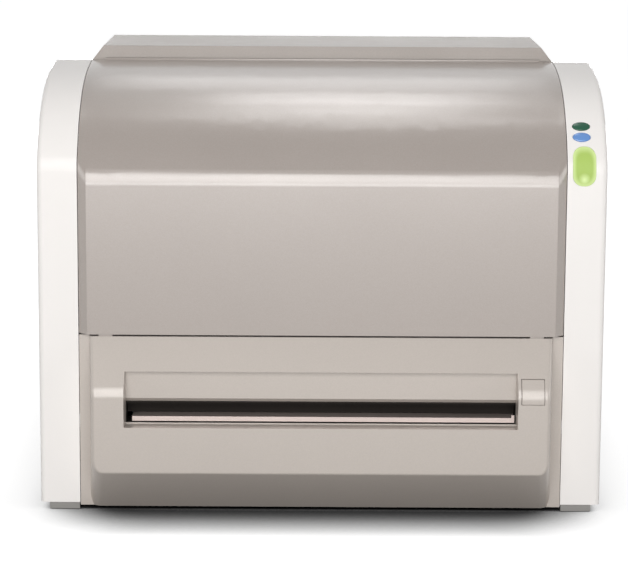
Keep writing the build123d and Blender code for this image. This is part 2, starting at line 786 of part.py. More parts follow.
def cassette_tray_lip():
    """Bright metal lip of the slot: a thin shelf with its edge folded down."""
    front = RECESS_DEPTH - 1
    low = TABLE_TOP - TRAY_LIP
    body = block(-TRAY_LEFT, TRAY_RIGHT, front, LINER_END + 0.5, TABLE_TOP - TRAY_SHEET, TABLE_TOP)
    body = body + block(-TRAY_LEFT, TRAY_RIGHT, front, front + TRAY_SHEET, low, TABLE_TOP)
    tab = block(TRAY_RIGHT - TRAY_TAB, TRAY_RIGHT, front, front + TRAY_SHEET,
                TABLE_TOP, TABLE_TOP + TRAY_TAB)
    return body + tab


def cassette_table():
    """Sheet table that carries the cassette, with edges folded down."""
    start = TABLE_START
    end = start + TABLE_LENGTH
    low = TABLE_TOP - TABLE_SHEET
    body = block(-FRAME_X, FRAME_X, start, end, low, TABLE_TOP)
    for side in (-1, 1):
        a = side * FRAME_X
        b = side * (FRAME_X - TABLE_SHEET)
        body = body + block(min(a, b), max(a, b), start, end, low - FRAME_FLANGE, TABLE_TOP)
    for i in range(-2, 3):
        for j in range(4):
            x = i * 70.0
            depth = start + 110 + j * 90.0
            body = body - rod_z(x, depth, low - 1, TABLE_TOP + 1, 14)
    return body + lever_pin()


def cassette_guides():
    """Two rails that keep the cassette straight on the table."""
    rails = []
    for side in (-1, 1):
        a = side * SLOT_HALF
        b = side * (SLOT_HALF + GUIDE_THICK)
        rail = block(min(a, b), max(a, b), GUIDE_START, GUIDE_START + GUIDE_LENGTH,
                     TABLE_TOP, TABLE_TOP + GUIDE_TALL)
        tips = rail.edges().filter_by(Axis.Z).filter_by(lambda e: abs(abs(e.center().X) - SLOT_HALF) < 0.01)
        rails.append(chamfer(tips, GUIDE_THICK - 1))
    return rails


def lock_lever():
    """Bell crank: the stem pushes one arm and the hook lets the cassette go."""
    top = STEM_Z + STEM_TALL / 2 + 1
    hub = rod_z(LEVER_X, LEVER_DEPTH, TABLE_TOP + 0.3, top, LEVER_HUB)
    half = LEVER_ARM / 2
    arm = block(LEVER_X, LEVER_X + LEVER_ARM_REACH, LEVER_DEPTH - half, LEVER_DEPTH + half,
                STEM_Z - STEM_TALL / 2 - 1, top)
    arm = arm - block(LEVER_X + LEVER_ARM_REACH, LEVER_X + 20, 0, 90, 0, 200)
    low = TABLE_TOP + 0.3
    hook = block(LEVER_X - LEVER_HOOK / 2, LEVER_X + LEVER_HOOK / 2,
                 LEVER_NOSE_DEPTH, LEVER_DEPTH, low, low + GUIDE_TALL)
    nose = Polyline(
        at(LEVER_X, LEVER_NOSE_DEPTH, low),
        at(LEVER_X, LEVER_NOSE_DEPTH + LEVER_HOOK, low),
        at(SLOT_HALF - LEVER_NOSE, LEVER_NOSE_DEPTH + LEVER_HOOK, low),
        at(SLOT_HALF - LEVER_NOSE / 2, LEVER_NOSE_DEPTH, low),
        close=True,
    )
    nose = extrude(make_face(nose), amount=GUIDE_TALL, dir=(0, 0, 1))
    bore = rod_z(LEVER_X, LEVER_DEPTH, TABLE_TOP, top + 1, LEVER_PIN + RUN_CLEAR)
    return hub + arm + hook + nose - bore


def lever_pin():
    """Pivot pin of the lock lever, pressed into the table."""
    top = STEM_Z + STEM_TALL / 2 + 1
    shaft = rod_z(LEVER_X, LEVER_DEPTH, TABLE_TOP, top + 2.3, LEVER_PIN)
    cap = rod_z(LEVER_X, LEVER_DEPTH, top + 0.3, top + 2.3, LEVER_PIN + 1.5)
    return shaft + cap


def release_spring():
    """Coil spring round the key's stem."""
    start = KEY_BODY - BLOCK_REACH - KEY_PROUD
    end = LINER_END - 6 - SPRING_END_GAP
    length = end - start - 2 * SPRING_WIRE
    coil = Helix(length / SPRING_TURNS, length, SPRING_RADIUS)
    plane = Plane(coil.position_at(0), z_dir=coil.tangent_at(0))
    wire = sweep(plane * Rectangle(SPRING_WIRE, SPRING_WIRE), path=coil)
    middle = at(STEM_X, start + SPRING_WIRE, STEM_Z)
    return Pos(middle.X, middle.Y, middle.Z) * Rot(-90, 0, 0) * wire


def oval_button(depth):
    """Oval cap with a softened face and a rim that keeps it in the cover."""
    plane = spot_plane(OVAL_X, depth)
    cap = oval(plane, OVAL_WIDE, OVAL_TALL, -OVAL_BODY, OVAL_PROUD)
    edge = cap.edges().sort_by(lambda e: (e.center() - plane.origin).dot(plane.z_dir))[-1]
    cap = fillet(edge, OVAL_PROUD * 0.6)
    return cap + oval(plane, OVAL_WIDE + 2 * OVAL_RIM, OVAL_TALL + OVAL_RIM,
                      -OVAL_BODY, -SKIN - OVAL_RIM)


def status_light():
    """Clear window that follows the cover's bend, standing a little proud."""
    inner = WIDTH / 2 - COVER_FACE
    skin = prism(cover_region(inner, -LENS_PROUD, FLOOR_CLEAR), COVER_FACE)
    skin = skin - prism(cover_region(inner - 1, LENS_THICK - LENS_PROUD, FLOOR_CLEAR - 9), COVER_FACE + 2)
    return skin & lens_prism(0)


def indicator_board():
    """Small board behind the oval buttons with two switches and a light."""
    plane = panel_board_plane()
    length = PANEL_BOARD_LONG / 2
    low = plane * Pos(0, OVAL_TALL - length / 2 - OVAL_TALL / 2, PANEL_BOARD_THICK / 2)
    board = low * Box(PANEL_BOARD_WIDE, length + OVAL_TALL, PANEL_BOARD_THICK)
    gap = OVAL_UPPER_DEPTH - OVAL_LOWER_DEPTH
    for sign in (-1, 1):
        across = plane * Pos(0, sign * gap * 0.75, PANEL_BOARD_THICK)
        switch = across * Cylinder(2.6, 1.6, align=(Align.CENTER, Align.CENTER, Align.MIN))
        board = board + switch
    return board


def feet():
    """Four round rubber feet with a softened lower edge."""
    result = []
    for x in (-FOOT_X, FOOT_X):
        for depth in (BASE_START + FOOT_INSET, BASE_END - FOOT_INSET):
            foot = rod_z(x, depth, 0, FOOT_HEIGHT, FOOT_RADIUS)
            rim = foot.edges().sort_by(Axis.Z)[0]
            result.append(chamfer(rim, FOOT_HEIGHT / 4))
    return result


def base_plate():
    """Folded base sheet with a rear lip and rows of air slots."""
    body = block(-RAIL_IN, RAIL_IN, BASE_START, BASE_END, FOOT_HEIGHT, BASE_TOP)
    lip = block(-RAIL_IN, RAIL_IN, BASE_END - BASE_SHEET, BASE_END, FOOT_HEIGHT, BASE_TOP + 10)
    body = body + lip
    for i in range(8):
        x = BOARD_X + 12 + i * 16.0
        body = body - block(x, x + 5, BASE_START + 90, BASE_START + 170, 0, 50)
    for x, depth in standoff_places():
        body = body + rod_z(x, depth, BASE_TOP, BASE_TOP + BOARD_LIFT, STANDOFF_RADIUS)
    return body


def base_rail(side):
    """Grey channel under a side cover, open to the inside."""
    start = BASE_START
    out = RAIL_IN + RAIL_WIDE
    low = FLOOR_CLEAR - RAIL_TALL
    a = side * RAIL_IN
    b = side * out
    body = block(min(a, b), max(a, b), FACE_SET + 1, BODY_DEPTH - 1, low, FLOOR_CLEAR)
    c = side * (out - RAIL_SKIN)
    body = body - block(min(a, c) + side * 0, max(a, c), FACE_SET + 1 + RAIL_SKIN,
                        BODY_DEPTH - 1 - RAIL_SKIN, low - 1, FLOOR_CLEAR - RAIL_SKIN)
    return body


def frame_points():
    return [
        (FRAME_FRONT, BASE_TOP),
        (FRAME_FRONT, FRAME_BEND),
        ((FRAME_FRONT + FRAME_TOP_START) / 3, (FRAME_BEND + 2 * FRAME_TOP) / 3),
        (FRAME_TOP_START, FRAME_TOP),
        (FRAME_TOP_END, FRAME_TOP),
        (FRAME_REAR, FRAME_REAR_TOP),
        (FRAME_REAR, BASE_TOP),
    ]


def shaft_places():
    """Depth and height of the four roller shafts: lower and upper, twice."""
    low = PATH_HEIGHT - ROLLER_RADIUS
    high = PATH_HEIGHT + PLATE_GAP + ROLLER_RADIUS
    return [(ROLLER_FRONT, low), (ROLLER_FRONT, high), (ROLLER_REAR, low), (ROLLER_REAR, high)]


def side_frame(side):
    """Inner side plate with bearing holes, lightening holes and a foot flange."""
    a = side * FRAME_X
    b = side * (FRAME_X + FRAME_SHEET)
    body = side_prism(frame_points(), min(a, b), max(a, b))
    c = side * (FRAME_X - FRAME_FLANGE)
    foot = block(min(a, c), max(a, c), FRAME_FRONT + FRAME_FLANGE, FRAME_REAR - FRAME_FLANGE,
                 BASE_TOP, BASE_TOP + FRAME_SHEET)
    body = body + foot
    for depth, z in shaft_places():
        body = body - rod_x(min(a, b) - 1, max(a, b) + 1, depth, z, BEARING_OUT + RUN_CLEAR)
    for depth in (150.0, 260.0, 370.0):
        body = body - rod_x(min(a, b) - 1, max(a, b) + 1, depth, 330.0, 32)
    if side < 0:
        body = body - rod_x(b - 1, a + 1, DRIVE_MOTOR_DEPTH, DRIVE_MOTOR_HEIGHT, MOTOR_SHAFT + 3)
    return body


def roller_shaft(place, driven):
    """Steel shaft that runs in both frames; a driven one carries a pulley."""
    depth, z = place
    reach = FRAME_X + FRAME_SHEET + 2
    body = rod_x(-reach, reach, depth, z, ROLLER_SHAFT)
    if driven:
        start = FRAME_X + FRAME_SHEET + PULLEY_GAP
        wheel = rod_x(-start - PULLEY_WIDE, -start, depth, z, PULLEY_RADIUS)
        body = body + wheel + rod_x(-start - 1, -reach + 1, depth, z, ROLLER_SHAFT)
        flange = PULLEY_RADIUS + BELT_THICK + BELT_CLEAR + 0.8
        body = body + rod_x(-start - PULLEY_WIDE, -start - PULLEY_WIDE + 1, depth, z, flange)
    return body


def roller_sleeve(place):
    """Rubber sleeve on a roller shaft."""
    depth, z = place
    sleeve = rod_x(-ROLLER_HALF, ROLLER_HALF, depth, z, ROLLER_RADIUS)
    return sleeve - rod_x(-ROLLER_HALF - 1, ROLLER_HALF + 1, depth, z, ROLLER_SHAFT)


def pinch_roller(place):
    """Upper roller with its rubber moulded on the shaft."""
    depth, z = place
    sleeve = rod_x(-ROLLER_HALF, ROLLER_HALF, depth, z, ROLLER_RADIUS)
    return roller_shaft(place, False) + sleeve


def roller_bearings():
    """Eight bearing rings in the side frames."""
    rings = []
    for depth, z in shaft_places():
        for side in (-1, 1):
            a = side * (FRAME_X + FRAME_SHEET)
            b = side * (FRAME_X + FRAME_SHEET - BEARING_WIDE)
            ring = rod_x(min(a, b), max(a, b), depth, z, BEARING_OUT)
            ring = ring - rod_x(min(a, b) - 1, max(a, b) + 1, depth, z, ROLLER_SHAFT + RUN_CLEAR)
            rings.append(ring)
    return rings


def belt_span():
    start = FRAME_X + FRAME_SHEET + PULLEY_GAP
    middle = start + PULLEY_WIDE / 2 - 0.5
    return -middle - BELT_WIDE / 2, -middle + BELT_WIDE / 2


def transport_belt():
    """Flat belt round the motor pulley and the two driven pulleys."""
    lower = PATH_HEIGHT - ROLLER_RADIUS
    centres = [(ROLLER_FRONT, lower), (ROLLER_REAR, lower), (DRIVE_MOTOR_DEPTH, DRIVE_MOTOR_HEIGHT)]
    x0, x1 = belt_span()
    hulls = []
    for grow in (BELT_CLEAR, BELT_CLEAR + BELT_THICK):
        discs = []
        for depth, z in centres:
            place = at(x0, depth, z)
            plane = Plane(origin=place, x_dir=(0, 1, 0), z_dir=(1, 0, 0))
            discs.append(plane * Circle(PULLEY_RADIUS + grow))
        edges = []
        for disc in discs:
            edges.extend(disc.edges())
        hulls.append(make_face(belt_loop(x0, centres, PULLEY_RADIUS + grow)))
    outer = prism(hulls[1], x1 - x0)
    return outer - (Pos(-1, 0, 0) * prism(hulls[0], x1 - x0 + 2))


def belt_loop(x, centres, radius):
    """Closed path of straight runs and arcs round three equal pulleys."""
    edges = []
    count = len(centres)
    for i in range(count):
        a = centres[i]
        b = centres[(i + 1) % count]
        c = centres[(i + 2) % count]
        run = (b[0] - a[0], b[1] - a[1])
        size = math.hypot(*run)
        side = (-run[1] / size, run[0] / size)
        nxt = (c[0] - b[0], c[1] - b[1])
        next_size = math.hypot(*nxt)
        next_side = (-nxt[1] / next_size, nxt[0] / next_size)
        start = (a[0] + radius * side[0], a[1] + radius * side[1])
        stop = (b[0] + radius * side[0], b[1] + radius * side[1])
        turn = (b[0] + radius * next_side[0], b[1] + radius * next_side[1])
        blend = (side[0] + next_side[0], side[1] + next_side[1])
        scale = radius / math.hypot(*blend)
        crest = (b[0] + blend[0] * scale, b[1] + blend[1] * scale)
        edges.append(line(x, start, stop))
        edges.append(ThreePointArc(at(x, *stop), at(x, *crest), at(x, *turn)))
    return Wire(edges)


def transport_motor():
    """Round gear motor on the left side frame."""
    depth = DRIVE_MOTOR_DEPTH
    z = DRIVE_MOTOR_HEIGHT
    can = rod_x(-FRAME_X, -FRAME_X + DRIVE_MOTOR_LONG, depth, z, DRIVE_MOTOR_RADIUS)
    can = chamfer(can.edges().sort_by(Axis.X)[-1], 2)
    cap = rod_x(-FRAME_X + DRIVE_MOTOR_LONG, -FRAME_X + DRIVE_MOTOR_LONG + 4, depth, z, 8)
    bore = rod_x(-FRAME_X - 1, -FRAME_X + 12, depth, z, MOTOR_SHAFT + RUN_CLEAR)
    return can + cap - bore


def motor_pulley():
    """Motor shaft with its flanged pulley."""
    depth = DRIVE_MOTOR_DEPTH
    z = DRIVE_MOTOR_HEIGHT
    start = FRAME_X + FRAME_SHEET + PULLEY_GAP
    shaft = rod_x(-start, -FRAME_X + 10, depth, z, MOTOR_SHAFT)
    wheel = rod_x(-start - PULLEY_WIDE, -start, depth, z, PULLEY_RADIUS)
    flange = PULLEY_RADIUS + BELT_THICK + BELT_CLEAR + 0.8
    rim = rod_x(-start - PULLEY_WIDE, -start - PULLEY_WIDE + 1, depth, z, flange)
    return shaft + wheel + rim


def cross_member(start):
    """Folded cross member between the side frames, above the cassette."""
    top = CROSS_BASE + CROSS_TALL
    body = block(-FRAME_X, FRAME_X, start, start + CROSS_SHEET, CROSS_BASE, top)
    body = body + block(-FRAME_X, FRAME_X, start - 12, start, top - CROSS_SHEET, top)
    hole = SCREW_JOURNAL + RUN_CLEAR
    return body - rod_y(-SCREW_X, start - 1, start + CROSS_SHEET + 1, SCREW_Z, hole)


def guide_rods():
    """Two round rods that carry the pickup carriage."""
    start = CROSS_FRONT + CROSS_SHEET
    return [rod_y(side * ROD_X, start, CROSS_REAR, ROD_Z, ROD_RADIUS) for side in (-1, 1)]


def lead_screw():
    """Screw with two plain journals; its rear end runs in the motor."""
    start = CROSS_FRONT + CROSS_SHEET + 0.5
    end = CROSS_REAR - 0.5
    body = rod_y(-SCREW_X, start, end, SCREW_Z, SCREW_RADIUS)
    return body + rod_y(-SCREW_X, CROSS_FRONT - 2, CROSS_REAR + CROSS_SHEET + 12, SCREW_Z, SCREW_JOURNAL)


def carriage_motor():
    """Square stepper motor behind the rear cross member."""
    start = CROSS_REAR + CROSS_SHEET
    half = STEP_MOTOR / 2
    body = block(-SCREW_X - half, -SCREW_X + half, start, start + STEP_MOTOR_LONG,
                 SCREW_Z - half, SCREW_Z + half)
    corners = body.edges().filter_by(Axis.Y)
    body = chamfer(corners, 4)
    return body - rod_y(-SCREW_X, start - 1, start + 14, SCREW_Z, SCREW_JOURNAL + RUN_CLEAR)


def pickup_carriage():
    """Beam on the two rods with a nut block for the screw."""
    start = CARRIAGE_DEPTH
    end = start + CARRIAGE_LONG
    half = FRAME_X - CARRIAGE_END_GAP
    top = CARRIAGE_BASE + CARRIAGE_TALL
    body = block(-half, half, start, end, CARRIAGE_BASE, top)
    wall = CARRIAGE_WALL
    inner = ROD_X - ROD_RADIUS - 2 * wall
    body = body - block(-inner, inner, start + wall, end - wall, CARRIAGE_BASE - 1, top - wall)
    nut = block(-SCREW_X - NUT_WIDE / 2, -SCREW_X + NUT_WIDE / 2, start, end,
                top, SCREW_Z + SCREW_RADIUS + wall + 2)
    body = body + nut
    for x in (-CUP_PITCH * 1.5, -CUP_PITCH / 2, CUP_PITCH / 2, CUP_PITCH * 1.5):
        body = body + rod_z(x, start + CARRIAGE_LONG / 2, CARRIAGE_BASE, top - wall, 6)
    for side in (-1, 1):
        body = body - rod_y(side * ROD_X, start - 1, end + 1, ROD_Z, ROD_RADIUS + RUN_CLEAR)
    return body - rod_y(-SCREW_X, start - 1, end + 1, SCREW_Z, SCREW_RADIUS + RUN_CLEAR)


def suction_cups():
    """Four rubber suction cups with hollow bells under the carriage."""
    cups = []
    low = CARRIAGE_BASE - CUP_DROP
    for x in (-CUP_PITCH * 1.5, -CUP_PITCH / 2, CUP_PITCH / 2, CUP_PITCH * 1.5):
        place = at(x, CARRIAGE_DEPTH + CARRIAGE_LONG / 2, 0)
        profile = Polyline(
            (CUP_RADIUS, 0, low),
            (CUP_RADIUS / 2.5, 0, low + CUP_TALL),
            (CUP_RADIUS / 2.5, 0, CARRIAGE_BASE),
            (0, 0, CARRIAGE_BASE),
            (0, 0, low + CUP_TALL - 2.5),
            (CUP_RADIUS - 2, 0, low),
            close=True,
        )
        cup = revolve(make_face(profile), Axis.Z)
        cups.append(Pos(place.X, place.Y, 0) * cup)
    return cups


def scan_platen():
    """Channel under the scan line that keeps the plate flat."""
    middle = (ROLLER_FRONT + ROLLER_REAR) / 2
    start = middle - PLATEN_LONG / 2
    end = middle + PLATEN_LONG / 2
    top = PATH_HEIGHT - PLATEN_DROP
    body = block(-FRAME_X, FRAME_X, start, end, top - PLATEN_TALL, top)
    return body - block(-FRAME_X - 1, FRAME_X + 1, start + PLATEN_SHEET, end - PLATEN_SHEET,
                        top - PLATEN_TALL - 1, top - PLATEN_SHEET)


def light_collector():
    """Clear guide that narrows from the scan line to the round tube."""
    low = Plane(origin=at(0, COLLECTOR_START, COLLECTOR_BASE), x_dir=(1, 0, 0), z_dir=(0, 0, 1))
    high = Plane(origin=at(0, COLLECTOR_START, BED_HEIGHT), x_dir=(1, 0, 0), z_dir=(0, 0, 1))
    side = TUBE_RADIUS * 1.3
    bottom = low * Rectangle(2 * COLLECTOR_HALF, COLLECTOR_SLIT)
    top = high * Rectangle(side, side)
    body = loft([bottom.face(), top.face()], ruled=True)
    neck = rod_z(0, COLLECTOR_START, BED_HEIGHT, BED_HEIGHT + TUBE_SOCKET, TUBE_RADIUS - 3)
    return body + neck


def optics_bed():
    """Ribbed casting across the frames that carries the scan optics."""
    top = BED_HEIGHT + BED_THICK
    body = block(-FRAME_X, FRAME_X, BED_START, BED_END, BED_HEIGHT, top)
    for side in (-1, 1):
        a = side * FRAME_X
        b = side * (FRAME_X - 4)
        body = body + block(min(a, b), max(a, b), BED_START, BED_END, BED_HEIGHT, top + BED_RIB)
    body = body + block(-FRAME_X, FRAME_X, BED_START, BED_START + 4, BED_HEIGHT, top + BED_RIB)
    body = body + block(-FRAME_X, FRAME_X, BED_END - 4, BED_END, BED_HEIGHT, top + BED_RIB)
    body = body - block(-FOLD_HALF, FOLD_HALF, BED_SLOT_START, BED_SLOT_START + BED_SLOT_LONG,
                        BED_HEIGHT - 1, top + 1)
    body = body - rod_z(0, COLLECTOR_START, BED_HEIGHT - 1, top + 1, TUBE_RADIUS - 3 + RUN_CLEAR)
    for post in mirror_posts():
        body = body + post
    return body


def photomultiplier():
    """Tube housing that stands on the bed over the collector."""
    low = BED_HEIGHT + BED_THICK
    body = rod_z(0, COLLECTOR_START, low, low + TUBE_TALL, TUBE_RADIUS)
    rim = rod_z(0, COLLECTOR_START, low, low + 5, TUBE_RADIUS + 6)
    cap = rod_z(0, COLLECTOR_START, low + TUBE_TALL, low + TUBE_TALL + 5, TUBE_RADIUS - 5)
    return body + rim + cap


def folding_mirror():
    """Long mirror strip that turns the scan line down through the bed."""
    low = BED_HEIGHT + BED_THICK
    tall = FOLD_TALL
    middle = at(0, FOLD_DEPTH + 20, low + tall / 2 + 2)
    strip = Box(2 * FOLD_HALF, FOLD_THICK, tall)
    return Pos(middle.X, middle.Y, middle.Z) * Rot(-FOLD_TILT, 0, 0) * strip


def mirror_posts():
    """Two end posts that hold the folding mirror."""
    low = BED_HEIGHT + BED_THICK
    posts = []
    for side in (-1, 1):
        a = side * FOLD_HALF
        b = side * (FOLD_HALF + 8)
        depth = FOLD_DEPTH + 20
        post = block(min(a, b), max(a, b), depth - 16, depth + 16, low, low + FOLD_TALL + 4)
        posts.append(chamfer(post.edges().filter_by(Axis.X).sort_by(Axis.Z)[-2:], 6))
    return posts


def polygon_motor():
    """Round motor with a square plate and a fixed spindle."""
    low = BED_HEIGHT + BED_THICK
    depth = POLYGON_DEPTH
    plate = block(-POLYGON_BASE, POLYGON_BASE, depth - POLYGON_BASE, depth + POLYGON_BASE,
                  low, low + 3)
    can = rod_z(0, depth, low + 3, low + POLYGON_BASE_TALL, POLYGON_RADIUS - 4)
    spindle = rod_z(0, depth, low, low + POLYGON_LIFT + POLYGON_TALL + 3, POLYGON_SHAFT)
    return plate + can + spindle


def polygon_mirror():
    """Six-sided mirror wheel on the spindle."""
    low = BED_HEIGHT + BED_THICK + POLYGON_LIFT
    place = at(0, POLYGON_DEPTH, low)
    body = Pos(place.X, place.Y, place.Z) * extrude(RegularPolygon(POLYGON_RADIUS, 6), POLYGON_TALL)
    hub = rod_z(0, POLYGON_DEPTH, BED_HEIGHT + BED_THICK + POLYGON_BASE_TALL + 0.3, low,
                POLYGON_SHAFT + 5)
    bore = rod_z(0, POLYGON_DEPTH, low - 20, low + 40, POLYGON_SHAFT + RUN_CLEAR)
    return body + hub - bore


def laser_module():
    """Laser housing with a round lens barrel aimed at the mirror wheel."""
    low = BED_HEIGHT + BED_THICK
    body = block(LASER_X, LASER_X + LASER_LONG, POLYGON_DEPTH - LASER_WIDE / 2,
                 POLYGON_DEPTH + LASER_WIDE / 2, low, low + LASER_TALL)
    body = chamfer(body.edges().filter_by(Axis.X).sort_by(Axis.Z)[-2:], 4)
    beam = low + POLYGON_LIFT + POLYGON_TALL / 2
    return body + rod_x(LASER_X - 22, LASER_X, POLYGON_DEPTH, beam, 9)


def erase_lamp():
    """Light bar across the plate's path with a row of emitters below."""
    low = ERASE_BASE
    body = block(-FRAME_X, FRAME_X, ERASE_START, ERASE_START + ERASE_LONG, low, low + ERASE_TALL)
    body = body - block(-ROLLER_HALF, ROLLER_HALF, ERASE_START + 4, ERASE_START + ERASE_LONG - 4,
                        low - 1, low + 12)
    for i in range(-4, 5):
        x = i * 42.0
        body = body + rod_z(x, ERASE_START + ERASE_LONG / 2, low + 6, low + 13, 5)
    return body


def plate_chute():
    """Curved sheet that turns the plate upwards behind the rollers."""
    low = PATH_HEIGHT - CHUTE_DROP
    end = CHUTE_START + CHUTE_RADIUS
    x = -FRAME_X
    middle = (CHUTE_START + CHUTE_RADIUS * math.sin(math.pi / 4),
              low + CHUTE_RADIUS * (1 - math.cos(math.pi / 4)))
    inner_r = CHUTE_RADIUS
    outer_r = CHUTE_RADIUS + CHUTE_SHEET
    centre = (CHUTE_START, low + CHUTE_RADIUS)
    edges = []
    out_mid = (centre[0] + outer_r * math.sin(math.pi / 4), centre[1] - outer_r * math.cos(math.pi / 4))
    edges.append(ThreePointArc(at(x, CHUTE_START, low), at(x, *middle), at(x, end, centre[1])))
    edges.append(line(x, (end, centre[1]), (end, CHUTE_TOP)))
    edges.append(line(x, (end, CHUTE_TOP), (end + CHUTE_SHEET, CHUTE_TOP)))
    edges.append(line(x, (end + CHUTE_SHEET, CHUTE_TOP), (end + CHUTE_SHEET, centre[1])))
    edges.append(ThreePointArc(at(x, end + CHUTE_SHEET, centre[1]), at(x, *out_mid),
                               at(x, CHUTE_START, low - CHUTE_SHEET)))
    edges.append(line(x, (CHUTE_START, low - CHUTE_SHEET), (CHUTE_START, low)))
    return prism(make_face(Wire(edges)), 2 * FRAME_X)


def power_supply():
    """Ventilated metal box on the base."""
    left = -SUPPLY_X
    body = block(left, left + SUPPLY_WIDE, SUPPLY_DEPTH, SUPPLY_DEPTH + SUPPLY_LONG,
                 BASE_TOP, BASE_TOP + SUPPLY_TALL)
    body = chamfer(body.edges().filter_by(Axis.Z), 2)
    for i in range(9):
        depth = SUPPLY_DEPTH + 22 + i * 17.0
        body = body - block(left + 25, left + SUPPLY_WIDE - 25, depth, depth + 7,
                            BASE_TOP + SUPPLY_TALL - 2, BASE_TOP + SUPPLY_TALL + 1)
    return body


def standoff_places():
    x0 = BOARD_X + STANDOFF_INSET
    x1 = BOARD_X + BOARD_WIDE - STANDOFF_INSET
    d0 = BOARD_DEPTH + STANDOFF_INSET
    d1 = BOARD_DEPTH + BOARD_LONG - STANDOFF_INSET
    return [(x0, d0), (x1, d0), (x0, d1), (x1, d1)]


def main_board():
    """Control board with chips, a heat sink and a row of connectors."""
    low = BASE_TOP + BOARD_LIFT
    top = low + BOARD_THICK
    body = block(BOARD_X, BOARD_X + BOARD_WIDE, BOARD_DEPTH, BOARD_DEPTH + BOARD_LONG, low, top)
    middle = BOARD_X + BOARD_WIDE / 2
    body = body + block(middle - 20, middle + 20, BOARD_DEPTH + 120, BOARD_DEPTH + 160, top, top + 3)
    for i in range(6):
        x = middle - 20 + i * 7.4
        body = body + block(x, x + 3, BOARD_DEPTH + 120, BOARD_DEPTH + 160, top + 3, top + 15)
    for i in range(4):
        x = BOARD_X + 24 + i * 36.0
        body = body + block(x, x + 22, BOARD_DEPTH + 8, BOARD_DEPTH + 18, top, top + 10)
        body = body + block(x, x + 16, BOARD_DEPTH + 60, BOARD_DEPTH + 84, top, top + 2.5)
    for i in range(5):
        x = BOARD_X + 24 + i * 30.0
        body = body + rod_z(x, BOARD_DEPTH + 215, top, top + 16, 6)
    return body


def rear_cover():
    """Rear panel with vent slots, fan grille and connector openings."""
    body = block(-GREY_HALF, GREY_HALF, PANEL_IN, PANEL_OUT, FLOOR_CLEAR, REAR_SEAM - SHELF_STEP)
    first = -(VENT_COUNT - 1) * VENT_PITCH / 2
    for i in range(VENT_COUNT):
        x = first + i * VENT_PITCH
        body = body - block(x - VENT_WIDE / 2, x + VENT_WIDE / 2, PANEL_IN - 1, PANEL_OUT + 1,
                            VENT_HEIGHT, VENT_HEIGHT + VENT_TALL)
    spoke = rod_y(FAN_X, PANEL_IN - 1, PANEL_OUT + 1, FAN_HEIGHT, FAN_BORE)
    for i in range(-4, 5):
        z = FAN_HEIGHT + i * FAN_BORE / 4.5
        slot = block(FAN_X - FAN_BORE, FAN_X + FAN_BORE, PANEL_IN - 1, PANEL_OUT + 1,
                     z - FAN_BORE / 16, z + FAN_BORE / 16)
        post = block(FAN_X - 2, FAN_X + 2, PANEL_IN - 1, PANEL_OUT + 1, 0, HEIGHT)
        body = body - ((slot & spoke) - post)
    gap = KEY_CLEAR / 2
    for x, z, wide, tall in rear_openings():
        body = body - block(x - wide / 2 - gap, x + wide / 2 + gap, PANEL_IN - 1, PANEL_OUT + 1,
                            z - tall / 2 - gap, z + tall / 2 + gap)
    return body


def rear_openings():
    flange = SWITCH_BEZEL
    items = [(INLET_X, INLET_HEIGHT, INLET_WIDE - 2 * flange - 12, INLET_TALL - flange)]
    items.append((SWITCH_X, INLET_HEIGHT, SWITCH_WIDE, SWITCH_TALL))
    for i in range(2):
        items.append((SOCKET_X + i * SOCKET_PITCH, INLET_HEIGHT, SOCKET_WIDE, SOCKET_TALL))
    return items


def mains_inlet():
    """Three-pin mains inlet with an outer flange."""
    x, z, wide, tall = rear_openings()[0]
    body = block(x - wide / 2, x + wide / 2, PANEL_IN - INLET_BODY, PANEL_OUT, z - tall / 2, z + tall / 2)
    flange = block(INLET_X - INLET_WIDE / 2, INLET_X + INLET_WIDE / 2, PANEL_OUT, BODY_DEPTH,
                   z - INLET_TALL / 2 - 1, z + INLET_TALL / 2 + 1)
    body = body + chamfer(flange.edges().filter_by(Axis.Y), 3)
    cavity = block(x - wide / 2 + 2, x + wide / 2 - 2, BODY_DEPTH - 18, BODY_DEPTH + 1,
                   z - tall / 2 + 3, z + tall / 2 - 3)
    cavity = chamfer(cavity.edges().filter_by(Axis.Y).sort_by(Axis.Z)[-2:], 4)
    body = body - cavity
    for i, lift in ((-1, 0), (0, 3.5), (1, 0)):
        px = x + i * 7
        body = body + block(px - 1, px + 1, BODY_DEPTH - 19, BODY_DEPTH - 3, z + lift - 4, z + lift)
    return body


def rocker_cavity():
    """Half width and half height of the well that the rocker sits in."""
    return SWITCH_WIDE / 2 - SWITCH_BEZEL / 2, SWITCH_TALL / 2 - SWITCH_BEZEL / 2


def rocker_axis():
    return PANEL_OUT - ROCKER_AXIS_SET


def switch_frame():
    """Bezel and body of the mains switch, with a well and two pivot holes."""
    half = SWITCH_WIDE / 2
    tall = SWITCH_TALL / 2
    bezel = SWITCH_BEZEL
    z = INLET_HEIGHT
    body = block(SWITCH_X - half, SWITCH_X + half, PANEL_IN - SWITCH_BODY, PANEL_OUT,
                 z - tall, z + tall)
    body = body + block(SWITCH_X - half - bezel, SWITCH_X + half + bezel, PANEL_OUT,
                        PANEL_OUT + REAR_SET / 2, z - tall - bezel, z + tall + bezel)
    well, deep = rocker_cavity()
    body = body - block(SWITCH_X - well, SWITCH_X + well, rocker_axis() - ROCKER_WELL,
                        BODY_DEPTH + 9, z - deep, z + deep)
    return body - rod_x(SWITCH_X - half + 0.4, SWITCH_X + half - 0.4, rocker_axis(), z,
                        ROCKER_PIN + RUN_CLEAR)


